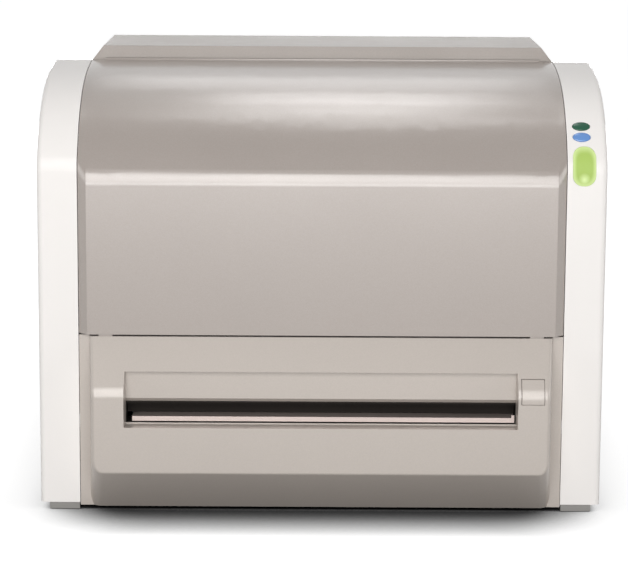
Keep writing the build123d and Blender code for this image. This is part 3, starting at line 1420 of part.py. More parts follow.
def switch_rocker():
    """Rocker with two flat halves and side pins, tilted to its off position."""
    well, deep = rocker_cavity()
    half = well - ROCKER_CLEAR
    tall = deep - 2 * ROCKER_CLEAR
    face = ROCKER_AXIS_SET - 1 + ROCKER_PROUD / 2
    points = [(-3, 2 - tall), (face, -tall), (face - 1, 0), (face, tall), (-3, tall - 2)]
    x0 = SWITCH_X - half
    outline = Polyline([Vector(x0, d, z) for d, z in points], close=True)
    body = extrude(make_face(outline), amount=2 * half, dir=(1, 0, 0))
    reach = SWITCH_WIDE / 2 - ROCKER_CLEAR
    body = body + Pos(SWITCH_X, 0, 0) * Rot(0, 90, 0) * Cylinder(ROCKER_PIN, 2 * reach)
    middle = at(0, rocker_axis(), INLET_HEIGHT)
    return Pos(0, middle.Y, middle.Z) * Rot(-ROCKER_TILT, 0, 0) * body


def network_sockets():
    """Two square data sockets beside the switch."""
    result = []
    for x, z, wide, tall in rear_openings()[2:]:
        body = block(x - wide / 2, x + wide / 2, PANEL_IN - SOCKET_BODY, PANEL_OUT + 1,
                     z - tall / 2, z + tall / 2)
        hollow = block(x - wide / 2 + 2, x + wide / 2 - 2, PANEL_OUT - 12, PANEL_OUT + 2,
                       z - tall / 2 + 2.5, z + tall / 2 - 4)
        notch = block(x - 3, x + 3, PANEL_OUT - 12, PANEL_OUT + 2, z, z + tall / 2 - 2)
        result.append(body - hollow - notch)
    return result


def fan_housing():
    """Square fan frame with four spokes and a spindle."""
    half = FAN_SIZE / 2
    start = PANEL_IN - FAN_THICK
    body = block(FAN_X - half, FAN_X + half, start, PANEL_IN, FAN_HEIGHT - half, FAN_HEIGHT + half)
    body = chamfer(body.edges().filter_by(Axis.Y), 4)
    body = body - rod_y(FAN_X, start - 1, PANEL_IN + 1, FAN_HEIGHT, FAN_BORE)
    motor = rod_y(FAN_X, start, start + 4, FAN_HEIGHT, FAN_HUB)
    spindle = rod_y(FAN_X, start, PANEL_IN - 3, FAN_HEIGHT, FAN_SPINDLE)
    body = body + motor + spindle
    for turn in (45, 135, 225, 315):
        angle = math.radians(turn)
        arm = Box(FAN_BORE - FAN_HUB + 6, 3, 4)
        reach = (FAN_BORE + FAN_HUB) / 2
        middle = at(FAN_X + reach * math.cos(angle), start + 1.5, FAN_HEIGHT + reach * math.sin(angle))
        body = body + Pos(middle.X, middle.Y, middle.Z) * Rot(0, -turn, 0) * arm
    return body


def fan_rotor():
    """Hub with seven twisted blades."""
    start = PANEL_IN - FAN_THICK + 4.5
    end = PANEL_IN - 4
    hub = rod_y(FAN_X, start, end, FAN_HEIGHT, FAN_HUB)
    body = hub
    tip = FAN_BORE - FAN_TIP_GAP
    middle = at(FAN_X, (start + end) / 2, FAN_HEIGHT)
    for i in range(FAN_BLADES):
        blade = Box(1.4, end - start - 2, tip - FAN_HUB + 4)
        blade = Pos(0, 0, (tip + FAN_HUB) / 2 - 3) * Rot(0, 0, 35) * blade
        blade = Rot(0, 360.0 * i / FAN_BLADES, 0) * blade
        body = body + Pos(middle.X, middle.Y, middle.Z) * blade
    return body - rod_y(FAN_X, start - 1, end + 1, FAN_HEIGHT, FAN_SPINDLE + RUN_CLEAR)


def rear_screws():
    """Screw heads round the rear panel."""
    heads = []
    edge = GREY_HALF - SCREW_EDGE
    low = FLOOR_CLEAR + SCREW_EDGE
    high = REAR_SEAM - SHELF_STEP - SCREW_EDGE
    for x in (-edge, 0, edge):
        for z in (low, high):
            head = rod_y(x, PANEL_OUT, PANEL_OUT + SCREW_HEAD_TALL, z, SCREW_HEAD)
            heads.append(chamfer(head.edges().sort_by(Axis.Y)[-1], SCREW_HEAD_TALL / 3))
    return heads


SHAFTS = shaft_places()
PARTS = {
    "left_side_cover": side_cover(-1),
    "right_side_cover": side_cover(1),
    "front_hood": front_hood(),
    "top_cover": top_cover(),
    "lower_front_cover": lower_front_cover(),
    "rear_cover": rear_cover(),
    "rear_cover_screws": rear_screws(),
    "slot_liner": slot_liner(),
    "slot_brush": slot_brush(),
    "slot_flap": slot_flap(),
    "cassette_tray_lip": cassette_tray_lip(),
    "cassette_table": cassette_table(),
    "cassette_guides": cassette_guides(),
    "release_button": release_button(),
    "release_spring": release_spring(),
    "lock_lever": lock_lever(),
    "upper_oval_button": oval_button(OVAL_UPPER_DEPTH),
    "lower_oval_button": oval_button(OVAL_LOWER_DEPTH),
    "status_light": status_light(),
    "indicator_board": indicator_board(),
    "rubber_feet": feet(),
    "base_plate": base_plate(),
    "base_rails": [base_rail(-1), base_rail(1)],
    "left_side_frame": side_frame(-1),
    "right_side_frame": side_frame(1),
    "cross_members": [cross_member(CROSS_FRONT), cross_member(CROSS_REAR)],
    "guide_rods": guide_rods(),
    "lead_screw": lead_screw(),
    "carriage_motor": carriage_motor(),
    "pickup_carriage": pickup_carriage(),
    "suction_cups": suction_cups(),
    "front_drive_shaft": roller_shaft(SHAFTS[0], True),
    "front_drive_sleeve": roller_sleeve(SHAFTS[0]),
    "front_pinch_roller": pinch_roller(SHAFTS[1]),
    "rear_drive_shaft": roller_shaft(SHAFTS[2], True),
    "rear_drive_sleeve": roller_sleeve(SHAFTS[2]),
    "rear_pinch_roller": pinch_roller(SHAFTS[3]),
    "roller_bearings": roller_bearings(),
    "transport_belt": transport_belt(),
    "transport_motor": transport_motor(),
    "motor_pulley": motor_pulley(),
    "scan_platen": scan_platen(),
    "light_collector": light_collector(),
    "photomultiplier": photomultiplier(),
    "optics_bed": optics_bed(),
    "folding_mirror": folding_mirror(),
    "polygon_motor": polygon_motor(),
    "polygon_mirror": polygon_mirror(),
    "laser_module": laser_module(),
    "erase_lamp": erase_lamp(),
    "plate_chute": plate_chute(),
    "power_supply": power_supply(),
    "main_board": main_board(),
    "mains_inlet": mains_inlet(),
    "switch_frame": switch_frame(),
    "switch_rocker": switch_rocker(),
    "network_sockets": network_sockets(),
    "fan_housing": fan_housing(),
    "fan_rotor": fan_rotor(),
}

os.makedirs("parts", exist_ok=True)
for name, shape in PARTS.items():
    if isinstance(shape, list):
        shape = Compound(children=shape)
    export_step(shape, "parts/" + name + ".step")
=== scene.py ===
"""Looks of a tabletop computed radiography digitizer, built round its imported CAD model."""

import enum
import json
import logging
import math
from dataclasses import dataclass
from typing import Sequence

import bmesh
import bpy
from mathutils import Matrix, Vector

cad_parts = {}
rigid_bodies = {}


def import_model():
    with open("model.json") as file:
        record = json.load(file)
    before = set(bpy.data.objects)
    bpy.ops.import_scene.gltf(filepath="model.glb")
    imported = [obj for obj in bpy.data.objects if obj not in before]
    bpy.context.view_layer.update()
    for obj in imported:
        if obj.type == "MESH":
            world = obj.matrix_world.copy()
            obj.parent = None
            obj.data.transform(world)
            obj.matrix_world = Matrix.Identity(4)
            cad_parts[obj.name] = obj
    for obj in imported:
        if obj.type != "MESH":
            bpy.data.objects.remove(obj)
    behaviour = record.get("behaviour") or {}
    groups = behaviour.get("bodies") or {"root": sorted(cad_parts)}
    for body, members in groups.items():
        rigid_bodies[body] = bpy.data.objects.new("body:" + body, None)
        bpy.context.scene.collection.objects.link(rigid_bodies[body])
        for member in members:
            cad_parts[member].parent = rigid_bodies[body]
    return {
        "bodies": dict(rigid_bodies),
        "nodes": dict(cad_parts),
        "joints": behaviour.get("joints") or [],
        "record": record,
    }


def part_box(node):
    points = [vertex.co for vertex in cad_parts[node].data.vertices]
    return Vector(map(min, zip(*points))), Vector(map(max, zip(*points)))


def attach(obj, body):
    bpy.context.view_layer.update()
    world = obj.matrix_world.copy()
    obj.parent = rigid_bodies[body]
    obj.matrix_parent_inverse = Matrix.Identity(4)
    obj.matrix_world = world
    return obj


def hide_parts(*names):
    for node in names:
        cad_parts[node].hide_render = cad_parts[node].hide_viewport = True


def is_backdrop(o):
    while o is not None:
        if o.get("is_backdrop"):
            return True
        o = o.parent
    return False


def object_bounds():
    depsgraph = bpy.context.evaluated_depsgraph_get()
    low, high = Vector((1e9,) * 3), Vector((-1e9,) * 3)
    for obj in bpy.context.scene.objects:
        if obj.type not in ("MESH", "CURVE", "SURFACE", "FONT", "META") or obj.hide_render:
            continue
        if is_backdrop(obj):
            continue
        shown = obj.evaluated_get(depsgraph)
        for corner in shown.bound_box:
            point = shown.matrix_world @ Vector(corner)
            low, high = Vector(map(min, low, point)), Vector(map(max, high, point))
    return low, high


LOG = logging.getLogger("digitizer")
PHOTO_WIDTH = 628
MM = 0.001
Point = tuple[float, float, float]
Pair = tuple[float, float]
Colour = tuple[float, float, float]
Tree = bpy.types.NodeTree
Socket = bpy.types.NodeSocket
UP: Point = (0, 0, 1)
BACKWARD: Point = (0, 1, 0)


def linear(colour: Colour) -> tuple[float, float, float, float]:
    """Turn a colour as seen on a screen into the scene's linear values.

    Args:
        colour: red, green and blue from 0 to 255.

    Returns:
        Linear red, green, blue and an alpha of 1.
    """
    parts = []
    for value in colour:
        share = value / 255
        low = share / 12.92
        high = ((share + 0.055) / 1.055) ** 2.4
        parts.append(low if share <= 0.04045 else high)
    return parts[0], parts[1], parts[2], 1.0


def linked(name: str, data: bpy.types.ID) -> bpy.types.Object:
    """Put a mesh, lamp or camera into the scene.

    Args:
        name: name of the new object.
        data: what it shows.

    Returns:
        The new object.
    """
    thing = bpy.data.objects.new(name, data)
    bpy.context.scene.collection.objects.link(thing)
    return thing


class Direction(enum.Enum):
    """Ways along which a metal was brushed or a moulding was drawn."""

    ALONG_X = (0.02, 1.0, 1.0)
    ALONG_Y = (1.0, 0.02, 1.0)


class Family(enum.Enum):
    """Kinds of finish; those without a pattern of their own are shaded like a moulding."""

    MOULDED = "moulded"
    FLAKE_PAINT = "flake paint"
    BRUSHED = "brushed"
    CAST = "cast"
    RUBBER = "rubber"
    BOARD = "board"
    CLEAR = "clear"
    MIRROR = "mirror"
    GLOWING = "glowing window"


class ShaderLibrary:
    """Node groups that several finishes share, each built once."""

    def __init__(self) -> None:
        """Build every group."""
        self.grain = self._grain()
        self.mottle = self._mottle()
        self.flake = self._flake()
        self.brushing = self._brushing()
        self.dust = self._dust()
        self.painted_window_highlight = self._painted_window_highlight()

    @staticmethod
    def _open(name: str, inputs: dict[str, float], outputs: Sequence[str]) -> Tree:
        """Start a group with float sockets.

        Args:
            name: the group's name.
            inputs: names and default values of its inputs.
            outputs: names of its outputs.

        Returns:
            The empty group with its two end nodes, named in and out.
        """
        group = bpy.data.node_groups.new(name, "ShaderNodeTree")
        for label, value in inputs.items():
            socket = group.interface.new_socket(label, in_out="INPUT", socket_type="NodeSocketFloat")
            socket.default_value = value
        for label in outputs:
            group.interface.new_socket(label, in_out="OUTPUT", socket_type="NodeSocketFloat")
        group.nodes.new("NodeGroupInput").name = "in"
        group.nodes.new("NodeGroupOutput").name = "out"
        return group

    @staticmethod
    def feed(tree: Tree, socket: Socket, value: Socket | float | tuple[float, ...]) -> None:
        """Give an input its value.

        Args:
            tree: where the input is.
            socket: the input.
            value: a number or colour to set, or a socket to link.
        """
        if isinstance(value, Socket):
            tree.links.new(value, socket)
        else:
            socket.default_value = value

    @classmethod
    def math(cls, tree: Tree, operation: str, *values: Socket | float) -> Socket:
        """Add a math node.

        Args:
            tree: where it goes.
            operation: Blender's name of the operation.
            values: numbers or sockets for its inputs.

        Returns:
            Its result.
        """
        node = tree.nodes.new("ShaderNodeMath")
        node.operation = operation
        for index, value in enumerate(values):
            cls.feed(tree, node.inputs[index], value)
        return node.outputs[0]

    @staticmethod
    def place(tree: Tree) -> Socket:
        """Coordinates in metres that stay with the piece."""
        return tree.nodes.new("ShaderNodeTexCoord").outputs["Object"]

    @staticmethod
    def split(tree: Tree, vector: Socket) -> bpy.types.NodeOutputs:
        """Take a vector apart.

        Args:
            tree: where the node goes.
            vector: what is taken apart.

        Returns:
            Sockets named X, Y and Z.
        """
        node = tree.nodes.new("ShaderNodeSeparateXYZ")
        tree.links.new(vector, node.inputs["Vector"])
        return node.outputs

    def blend(self, tree: Tree, first: Socket, share: float, second: Socket) -> Socket:
        """Weigh two tones against each other.

        Args:
            tree: where the nodes go.
            first: the first tone.
            share: its weight from 0 to 1; the second has the rest.
            second: the second tone.

        Returns:
            The weighed tone.
        """
        rest = self.math(tree, "MULTIPLY", second, 1 - share)
        return self.math(tree, "MULTIPLY_ADD", first, share, rest)

    def noise(self, tree: Tree, scale: Socket | float, detail: float,
              where: Socket | None = None) -> Socket:
        """Add a noise texture.

        Args:
            tree: where it goes.
            scale: its scale per metre, a number or a socket.
            detail: its octaves.
            where: the coordinates, the piece's own if left out.

        Returns:
            Its value from 0 to 1.
        """
        node = tree.nodes.new("ShaderNodeTexNoise")
        node.inputs["Detail"].default_value = detail
        tree.links.new(where or self.place(tree), node.inputs["Vector"])
        self.feed(tree, node.inputs["Scale"], scale)
        return node.outputs["Fac"]

    def _grain(self) -> Tree:
        """Fine spark-eroded grain of a moulding: a height and a tone.

        Returns:
            The group, which puts out its height and its tone.
        """
        tree = self._open("moulded_grain", {"Scale": 1400.0}, ("Height", "Tone"))
        scale = tree.nodes["in"].outputs["Scale"]
        cells = tree.nodes.new("ShaderNodeTexVoronoi")
        cells.feature = "SMOOTH_F1"
        tree.links.new(self.place(tree), cells.inputs["Vector"])
        tree.links.new(scale, cells.inputs["Scale"])
        fine = self.noise(tree, self.math(tree, "MULTIPLY", scale, 0.55), detail=3.0)
        height = self.blend(tree, fine, 0.4, cells.outputs["Distance"])
        tree.links.new(height, tree.nodes["out"].inputs["Height"])
        tree.links.new(fine, tree.nodes["out"].inputs["Tone"])
        return tree

    def _mottle(self) -> Tree:
        """Slow change of tone over a surface, with the marks of handling in it.

        Returns:
            The group, which puts out the tone.
        """
        tree = self._open("slow_mottle", {"Scale": 6.0, "Contrast": 1.0}, ("Tone",))
        scale = tree.nodes["in"].outputs["Scale"]
        broad = self.noise(tree, scale, detail=2.0)
        close = self.noise(tree, self.math(tree, "MULTIPLY", scale, 7.0), detail=4.0)
        mix = self.blend(tree, close, 0.35, broad)
        centred = self.math(tree, "SUBTRACT", mix, 0.5)
        tone = self.math(tree, "MULTIPLY_ADD", centred, tree.nodes["in"].outputs["Contrast"], 0.5)
        tree.links.new(tone, tree.nodes["out"].inputs["Tone"])
        return tree

    def _flake(self) -> Tree:
        """Small flakes in a metallic paint: a tone for each and a height.

        Returns:
            The group, which puts out a tone for each flake and the height.
        """
        tree = self._open("paint_flake", {"Scale": 2600.0}, ("Tone", "Height"))
        cells = tree.nodes.new("ShaderNodeTexVoronoi")
        tree.links.new(self.place(tree), cells.inputs["Vector"])
        tree.links.new(tree.nodes["in"].outputs["Scale"], cells.inputs["Scale"])
        split = tree.nodes.new("ShaderNodeSeparateColor")
        tree.links.new(cells.outputs["Color"], split.inputs["Color"])
        tree.links.new(split.outputs["Red"], tree.nodes["out"].inputs["Tone"])
        orange_peel = self.noise(tree, scale=260.0, detail=2.0)
        height = self.math(tree, "MULTIPLY_ADD", split.outputs["Green"], 0.25, orange_peel)
        tree.links.new(height, tree.nodes["out"].inputs["Height"])
        return tree

    def _brushing(self) -> Tree:
        """Fine parallel lines of drawn or brushed metal.

        Returns:
            The group, which puts out their height and their tone.
        """
        inputs = {"Scale": 900.0, "X": 1.0, "Y": 1.0, "Z": 1.0}
        tree = self._open("brushed_lines", inputs, ("Height", "Tone"))
        stretch = tree.nodes.new("ShaderNodeCombineXYZ")
        for axis in "XYZ":
            tree.links.new(tree.nodes["in"].outputs[axis], stretch.inputs[axis])
        warped = tree.nodes.new("ShaderNodeVectorMath")
        warped.operation = "MULTIPLY"
        tree.links.new(self.place(tree), warped.inputs[0])
        tree.links.new(stretch.outputs["Vector"], warped.inputs[1])
        lines = self.noise(tree, tree.nodes["in"].outputs["Scale"], 4.0, warped.outputs["Vector"])
        tree.links.new(lines, tree.nodes["out"].inputs["Height"])
        slow = self.noise(tree, scale=9.0, detail=2.0)
        tree.links.new(self.blend(tree, slow, 0.4, lines), tree.nodes["out"].inputs["Tone"])
        return tree

    def _dust(self) -> Tree:
        """Mask of light dust on faces that look up.

        Returns:
            The group, which puts out the mask.
        """
        tree = self._open("settled_dust", {"Amount": 0.1}, ("Mask",))
        facing = self.split(tree, tree.nodes.new("ShaderNodeNewGeometry").outputs["Normal"])
        up = self.math(tree, "POWER", self.math(tree, "MAXIMUM", facing["Z"], 0.0), 3.0)
        patches = self.noise(tree, scale=14.0, detail=5.0)
        mask = self.math(tree, "MULTIPLY", up, patches)
        mask = self.math(tree, "MULTIPLY", mask, tree.nodes["in"].outputs["Amount"])
        tree.links.new(mask, tree.nodes["out"].inputs["Mask"])
        return tree

    def _painted_window_highlight(self) -> Tree:
        """Painted highlight of a domed window: a pale rim and a pale patch near its lower end stand
        in for light on its bulge.

        Returns:
            The group, which puts out the tone.
        """
        # The rim and the patch are painted highlights, not marks of the plastic.
        tree = self._open("painted_window_highlight_tone", {"Rim": 0.68, "Patch": 0.36}, ("Tone",))
        roundness, rim_gain, patch_gain = 3.0, 2.4, 3.0
        patch_below, patch_stretch = 0.66, 0.4
        where = self.split(tree, tree.nodes.new("ShaderNodeTexCoord").outputs["Generated"])
        across = self.math(tree, "MULTIPLY_ADD", where["X"], 2.0, -1.0)
        along = self.math(tree, "MULTIPLY_ADD", where["Z"], 2.0, -1.0)
        reach = [self.math(tree, "POWER", self.math(tree, "ABSOLUTE", part), roundness)
                 for part in (across, along)]
        edge = self.math(tree, "POWER", self.math(tree, "ADD", *reach), 1 / roundness)
        rim = self.math(tree, "SUBTRACT", edge, tree.nodes["in"].outputs["Rim"])
        rim = self.math(tree, "MULTIPLY", rim, rim_gain)
        low = self.math(tree, "POWER", self.math(tree, "ADD", along, patch_below), 2.0)
        aside = self.math(tree, "MULTIPLY", self.math(tree, "POWER", across, 2.0), patch_stretch)
        apart = self.math(tree, "SQRT", self.math(tree, "ADD", low, aside))
        patch = self.math(tree, "SUBTRACT", tree.nodes["in"].outputs["Patch"], apart)
        patch = self.math(tree, "MULTIPLY", patch, patch_gain)
        tone = self.math(tree, "MAXIMUM", self.math(tree, "MAXIMUM", rim, patch), 0.0)
        tree.links.new(self.math(tree, "MINIMUM", tone, 1.0), tree.nodes["out"].inputs["Tone"])
        return tree


@dataclass(frozen=True)
class Finish:
    """Paint, plastic or metal of a piece, made into one procedural material.

    The tone runs from colour to second. The roughness swings by spread to both sides. The
    grain is the pattern's scale per metre and the relief is the strength of its bump.
    """

    name: str
    slot: str
    family: Family
    colour: Colour
    second: Colour
    roughness: float = 0.45
    spread: float = 0.08
    metallic: float = 0.0
    coat: float = 0.0
    coat_roughness: float = 0.12
    coat_ior: float = 1.5
    specular: float = 0.5
    grain: float = 1400.0
    relief: float = 0.04
    dust: float = 0.0
    direction: Direction = Direction.ALONG_X
    glow: float = 0.0
    dust_colour: Colour = (205, 200, 192)
    bump_depth: float = 0.4 * MM
    clear_share: float = 0.75
    clear_ior: float = 1.49

    def material(self, library: ShaderLibrary) -> bpy.types.Material:
        """Build the material.

        Args:
            library: the shared node groups.

        Returns:
            The material, ready to be put on a piece.
        """
        material = bpy.data.materials.new(self.name)
        material.use_nodes = True
        tree = material.node_tree
        shader = tree.nodes["Principled BSDF"]
        for label, value in (("Metallic", self.metallic), ("Coat Weight", self.coat),
                             ("Coat Roughness", self.coat_roughness), ("Coat IOR", self.coat_ior),
                             ("Specular IOR Level", self.specular)):
            shader.inputs[label].default_value = value
        tone, height = self._pattern(tree, library)
        colour = self._mix(tree, tone, linear(self.colour), linear(self.second))
        if self.dust > 0:
            dust = self._group(tree, library.dust, {"Amount": self.dust}).outputs["Mask"]
            colour = self._mix(tree, dust, colour, linear(self.dust_colour))
        tree.links.new(colour, shader.inputs["Base Color"])
        slow = self._group(tree, library.mottle, {"Scale": 9.0, "Contrast": 1.6}).outputs["Tone"]
        swing = library.math(tree, "SUBTRACT", slow, 0.5)
        rough = library.math(tree, "MULTIPLY_ADD", swing, self.spread * 2, self.roughness)
        tree.links.new(rough, shader.inputs["Roughness"])
        bump = tree.nodes.new("ShaderNodeBump")
        bump.inputs["Strength"].default_value = self.relief
        bump.inputs["Distance"].default_value = self.bump_depth
        tree.links.new(height, bump.inputs["Height"])
        tree.links.new(bump.outputs["Normal"], shader.inputs["Normal"])
        if self.glow > 0:
            tree.links.new(colour, shader.inputs["Emission Color"])
            shader.inputs["Emission Strength"].default_value = self.glow
        if self.family is Family.CLEAR:
            shader.inputs["Transmission Weight"].default_value = self.clear_share
            shader.inputs["IOR"].default_value = self.clear_ior
        return material

    @staticmethod
    def _group(tree: Tree, group: Tree, values: dict[str, float]) -> bpy.types.Node:
        """Place a shared group with its own values.

        Args:
            tree: the material's nodes.
            group: the shared group.
            values: what its inputs are set to.

        Returns:
            The placed node.
        """
        node = tree.nodes.new("ShaderNodeGroup")
        node.node_tree = group
        for label, value in values.items():
            node.inputs[label].default_value = value
        return node

    @staticmethod
    def _mix(tree: Tree, factor: Socket, first: Socket | tuple[float, ...],
             second: tuple[float, ...]) -> Socket:
        """Mix two colours.

        Args:
            tree: the material's nodes.
            factor: how much of the second shows.
            first: a colour or a socket.
            second: a colour.

        Returns:
            The mixed colour.
        """
        node = tree.nodes.new("ShaderNodeMix")
        node.data_type = "RGBA"
        tree.links.new(factor, node.inputs["Factor"])
        colours = [socket for socket in node.inputs if socket.type == "RGBA"]
        for socket, value in zip(colours, (first, second)):
            ShaderLibrary.feed(tree, socket, value)
        return [socket for socket in node.outputs if socket.type == "RGBA"][0]

    def _pattern(self, tree: Tree, library: ShaderLibrary) -> tuple[Socket, Socket]:
        """Tone and height of this family of finish.

        Args:
            tree: the material's nodes.
            library: the shared node groups.

        Returns:
            A tone from 0 to 1 and a height.
        """
        if self.family is Family.FLAKE_PAINT:
            node = self._group(tree, library.flake, {"Scale": self.grain})
            slow = self._group(tree, library.mottle, {"Scale": 3.0, "Contrast": 1.2})
            tone = library.blend(tree, node.outputs["Tone"], 0.5, slow.outputs["Tone"])
            return tone, node.outputs["Height"]
        if self.family in (Family.BRUSHED, Family.MIRROR):
            x, y, z = self.direction.value
            node = self._group(tree, library.brushing, {"Scale": self.grain, "X": x, "Y": y, "Z": z})
            return node.outputs["Tone"], node.outputs["Height"]
        node = self._group(tree, library.grain, {"Scale": self.grain})
        if self.family is Family.GLOWING:
            # A glowing window gets a painted highlight: a pale rim and a pale lower patch.
            return self._group(tree, library.painted_window_highlight, {}).outputs["Tone"], node.outputs["Height"]
        if self.family is Family.BOARD:
            return self._tracks(tree, library), node.outputs["Height"]
        slow = self._group(tree, library.mottle, {"Scale": 5.0, "Contrast": 1.5})
        tone = library.blend(tree, node.outputs["Tone"], 0.4, slow.outputs["Tone"])
        return tone, node.outputs["Height"]

    def _tracks(self, tree: Tree, library: ShaderLibrary) -> Socket:
        """Copper tracks below the lacquer of a circuit board.

        Args:
            tree: the material's nodes.
            library: the shared node groups.

        Returns:
            A tone that is high on a track.
        """
        bricks = tree.nodes.new("ShaderNodeTexBrick")
        for label, value in (("Scale", 220.0), ("Mortar Size", 0.09), ("Color1", (0, 0, 0, 1)),
                             ("Color2", (0.12, 0.12, 0.12, 1)), ("Mortar", (1, 1, 1, 1))):
            bricks.inputs[label].default_value = value
        tree.links.new(library.place(tree), bricks.inputs["Vector"])
        patches = library.noise(tree, scale=45.0, detail=1.0)
        some = library.math(tree, "GREATER_THAN", patches, 0.5)
        split = tree.nodes.new("ShaderNodeSeparateColor")
        tree.links.new(bricks.outputs["Color"], split.inputs["Color"])
        return library.math(tree, "MULTIPLY", split.outputs["Red"], some)


WHITE_COVER = Finish("warm white cover", "white_cover", Family.MOULDED, (249, 245, 242),
                     (245, 241, 237), roughness=0.42, relief=0.03, coat=0.1)
GREY_COVER = Finish("silver grey paint", "grey_cover", Family.FLAKE_PAINT, (149, 139, 132),
                    (158, 148, 141), roughness=0.36, metallic=0.1, relief=0.05, coat=0.7,
                    coat_roughness=0.2, coat_ior=1.75)
# The same grey paint made lighter as painted light, standing in for the stronger light on the lower
# front block.
GREY_LOWER_PAINTED_LIGHT = Finish("silver grey paint with painted lower light", "grey_cover", Family.FLAKE_PAINT, (178, 169, 161),
                    (187, 178, 170), roughness=0.42, metallic=0.1, relief=0.05, coat=0.6,
                    coat_roughness=0.24, coat_ior=1.55)
# The same grey paint darkened as painted shade, standing in for the lower light on the top cover and
# its riser.
GREY_TOP_PAINTED_SHADE = Finish("silver grey paint with painted top shade", "grey_cover", Family.FLAKE_PAINT, (136, 128, 122),
                  (145, 137, 130), roughness=0.45, metallic=0.1, relief=0.05, coat=0.25,
                  coat_roughness=0.3)
GREY_RAIL = Finish("grey rail plastic", "grey_rail", Family.MOULDED, (150, 147, 143),
                   (138, 136, 132), roughness=0.55)
BLACK_PLASTIC = Finish("black plastic", "black_plastic", Family.MOULDED, (30, 28, 28),
                       (38, 36, 36), roughness=0.5, relief=0.06)
SLOT_BLACK = Finish("matt black slot plastic", "black_plastic", Family.MOULDED, (30, 26, 24),
                    (36, 32, 29), roughness=0.7, specular=0.1, relief=0.08)
BRISTLE = Finish("dark bristle", "bristle", Family.MOULDED, (34, 30, 28), (46, 42, 39),
                 roughness=0.8, specular=0.15, relief=0.1)
BRIGHT_STEEL = Finish("bright steel", "bright_steel", Family.BRUSHED, (222, 216, 210),
                      (205, 200, 196), roughness=0.3, metallic=1.0, grain=1100.0)
SHEET_STEEL = Finish("zinc plated sheet", "sheet_steel", Family.BRUSHED, (172, 174, 176),
                     (196, 198, 199), roughness=0.42, metallic=0.9, grain=300.0, dust=0.1)
REAR_PANEL = Finish("painted rear panel", "rear_panel", Family.MOULDED, (150, 146, 141),
                    (142, 139, 134), roughness=0.5, relief=0.12, grain=700.0)
SPRING_STEEL = Finish("spring steel", "spring_steel", Family.BRUSHED, (190, 190, 188),
                      (160, 160, 158), roughness=0.28, metallic=1.0)
BLACK_RUBBER = Finish("black rubber", "black_rubber", Family.RUBBER, (34, 34, 34), (46, 45, 44),
                      roughness=0.75, relief=0.12, grain=900.0)
GREY_RUBBER = Finish("grey roller rubber", "grey_rubber", Family.RUBBER, (70, 71, 73),
                     (82, 83, 85), roughness=0.65, relief=0.08, grain=1600.0)
GREEN_KEY = Finish("dark green key", "green_key", Family.MOULDED, (6, 84, 58), (4, 74, 50),
                   roughness=0.3, specular=0.3, coat=0.3, coat_roughness=0.05, relief=0.02)
BLUE_KEY = Finish("blue key", "blue_key", Family.MOULDED, (100, 148, 212), (92, 140, 206),
                  roughness=0.22, coat=0.5, relief=0.02)
# Its second colour is a painted highlight on the window's rim and lower patch; the glow is the
# window lit by its lamps behind it.
GREEN_WINDOW = Finish("lime window", "green_window", Family.GLOWING, (160, 186, 92),
                      (208, 226, 160), roughness=0.6, relief=0.0, glow=0.22)
CIRCUIT_BOARD = Finish("circuit board", "circuit_board", Family.BOARD, (26, 84, 52),
                       (72, 128, 78), roughness=0.35, coat=0.3)
CAST_ALUMINIUM = Finish("cast aluminium", "cast_aluminium", Family.CAST, (176, 177, 179),
                        (160, 161, 164), roughness=0.5, metallic=0.85, grain=500.0, relief=0.2)
MOTOR_METAL = Finish("motor metal", "motor_metal", Family.BRUSHED, (96, 97, 99), (120, 121, 123),
                     roughness=0.38, metallic=0.8, grain=500.0, direction=Direction.ALONG_Y)
CLEAR_GUIDE = Finish("clear light guide", "clear_guide", Family.CLEAR, (226, 238, 242),
                     (218, 232, 238), roughness=0.06, spread=0.02, relief=0.0)
MIRROR_GLASS = Finish("mirror glass", "mirror_glass", Family.MIRROR, (236, 238, 240),
                      (228, 231, 234), roughness=0.05, spread=0.02, metallic=1.0, relief=0.0)
GUIDE_PLASTIC = Finish("natural guide plastic", "guide_plastic", Family.MOULDED, (222, 219, 210),
                       (212, 209, 200), roughness=0.45)
TRAY_STEEL = Finish("warm tray steel", "bright_steel", Family.BRUSHED, (188, 174, 168),
                    (178, 165, 160), roughness=0.42, metallic=0.6, grain=700.0)
CHIP_BLACK = Finish("black chip package", "black_plastic", Family.MOULDED, (24, 24, 26),
                    (32, 32, 34), roughness=0.4, relief=0.05, grain=2400.0)
LAMP_PLASTIC = Finish("diffuse lamp plastic", "guide_plastic", Family.MOULDED, (214, 236, 190),
                      (204, 228, 178), roughness=0.25, coat=0.4)
GOLD_CONTACT = Finish("gilt contact", "bright_steel", Family.BRUSHED, (226, 186, 96),
                      (212, 170, 84), roughness=0.25, metallic=1.0)
# A CAD node takes the first of these that has its material slot.
ALL_FINISHES = (WHITE_COVER, GREY_COVER, GREY_LOWER_PAINTED_LIGHT, GREY_TOP_PAINTED_SHADE, GREY_RAIL, BLACK_PLASTIC, SLOT_BLACK,
                BRISTLE, BRIGHT_STEEL, SHEET_STEEL, REAR_PANEL, SPRING_STEEL, BLACK_RUBBER,
                GREY_RUBBER, GREEN_KEY, BLUE_KEY, GREEN_WINDOW, CIRCUIT_BOARD, CAST_ALUMINIUM,
                MOTOR_METAL, CLEAR_GUIDE, MIRROR_GLASS, GUIDE_PLASTIC, TRAY_STEEL, CHIP_BLACK,
                LAMP_PLASTIC, GOLD_CONTACT)


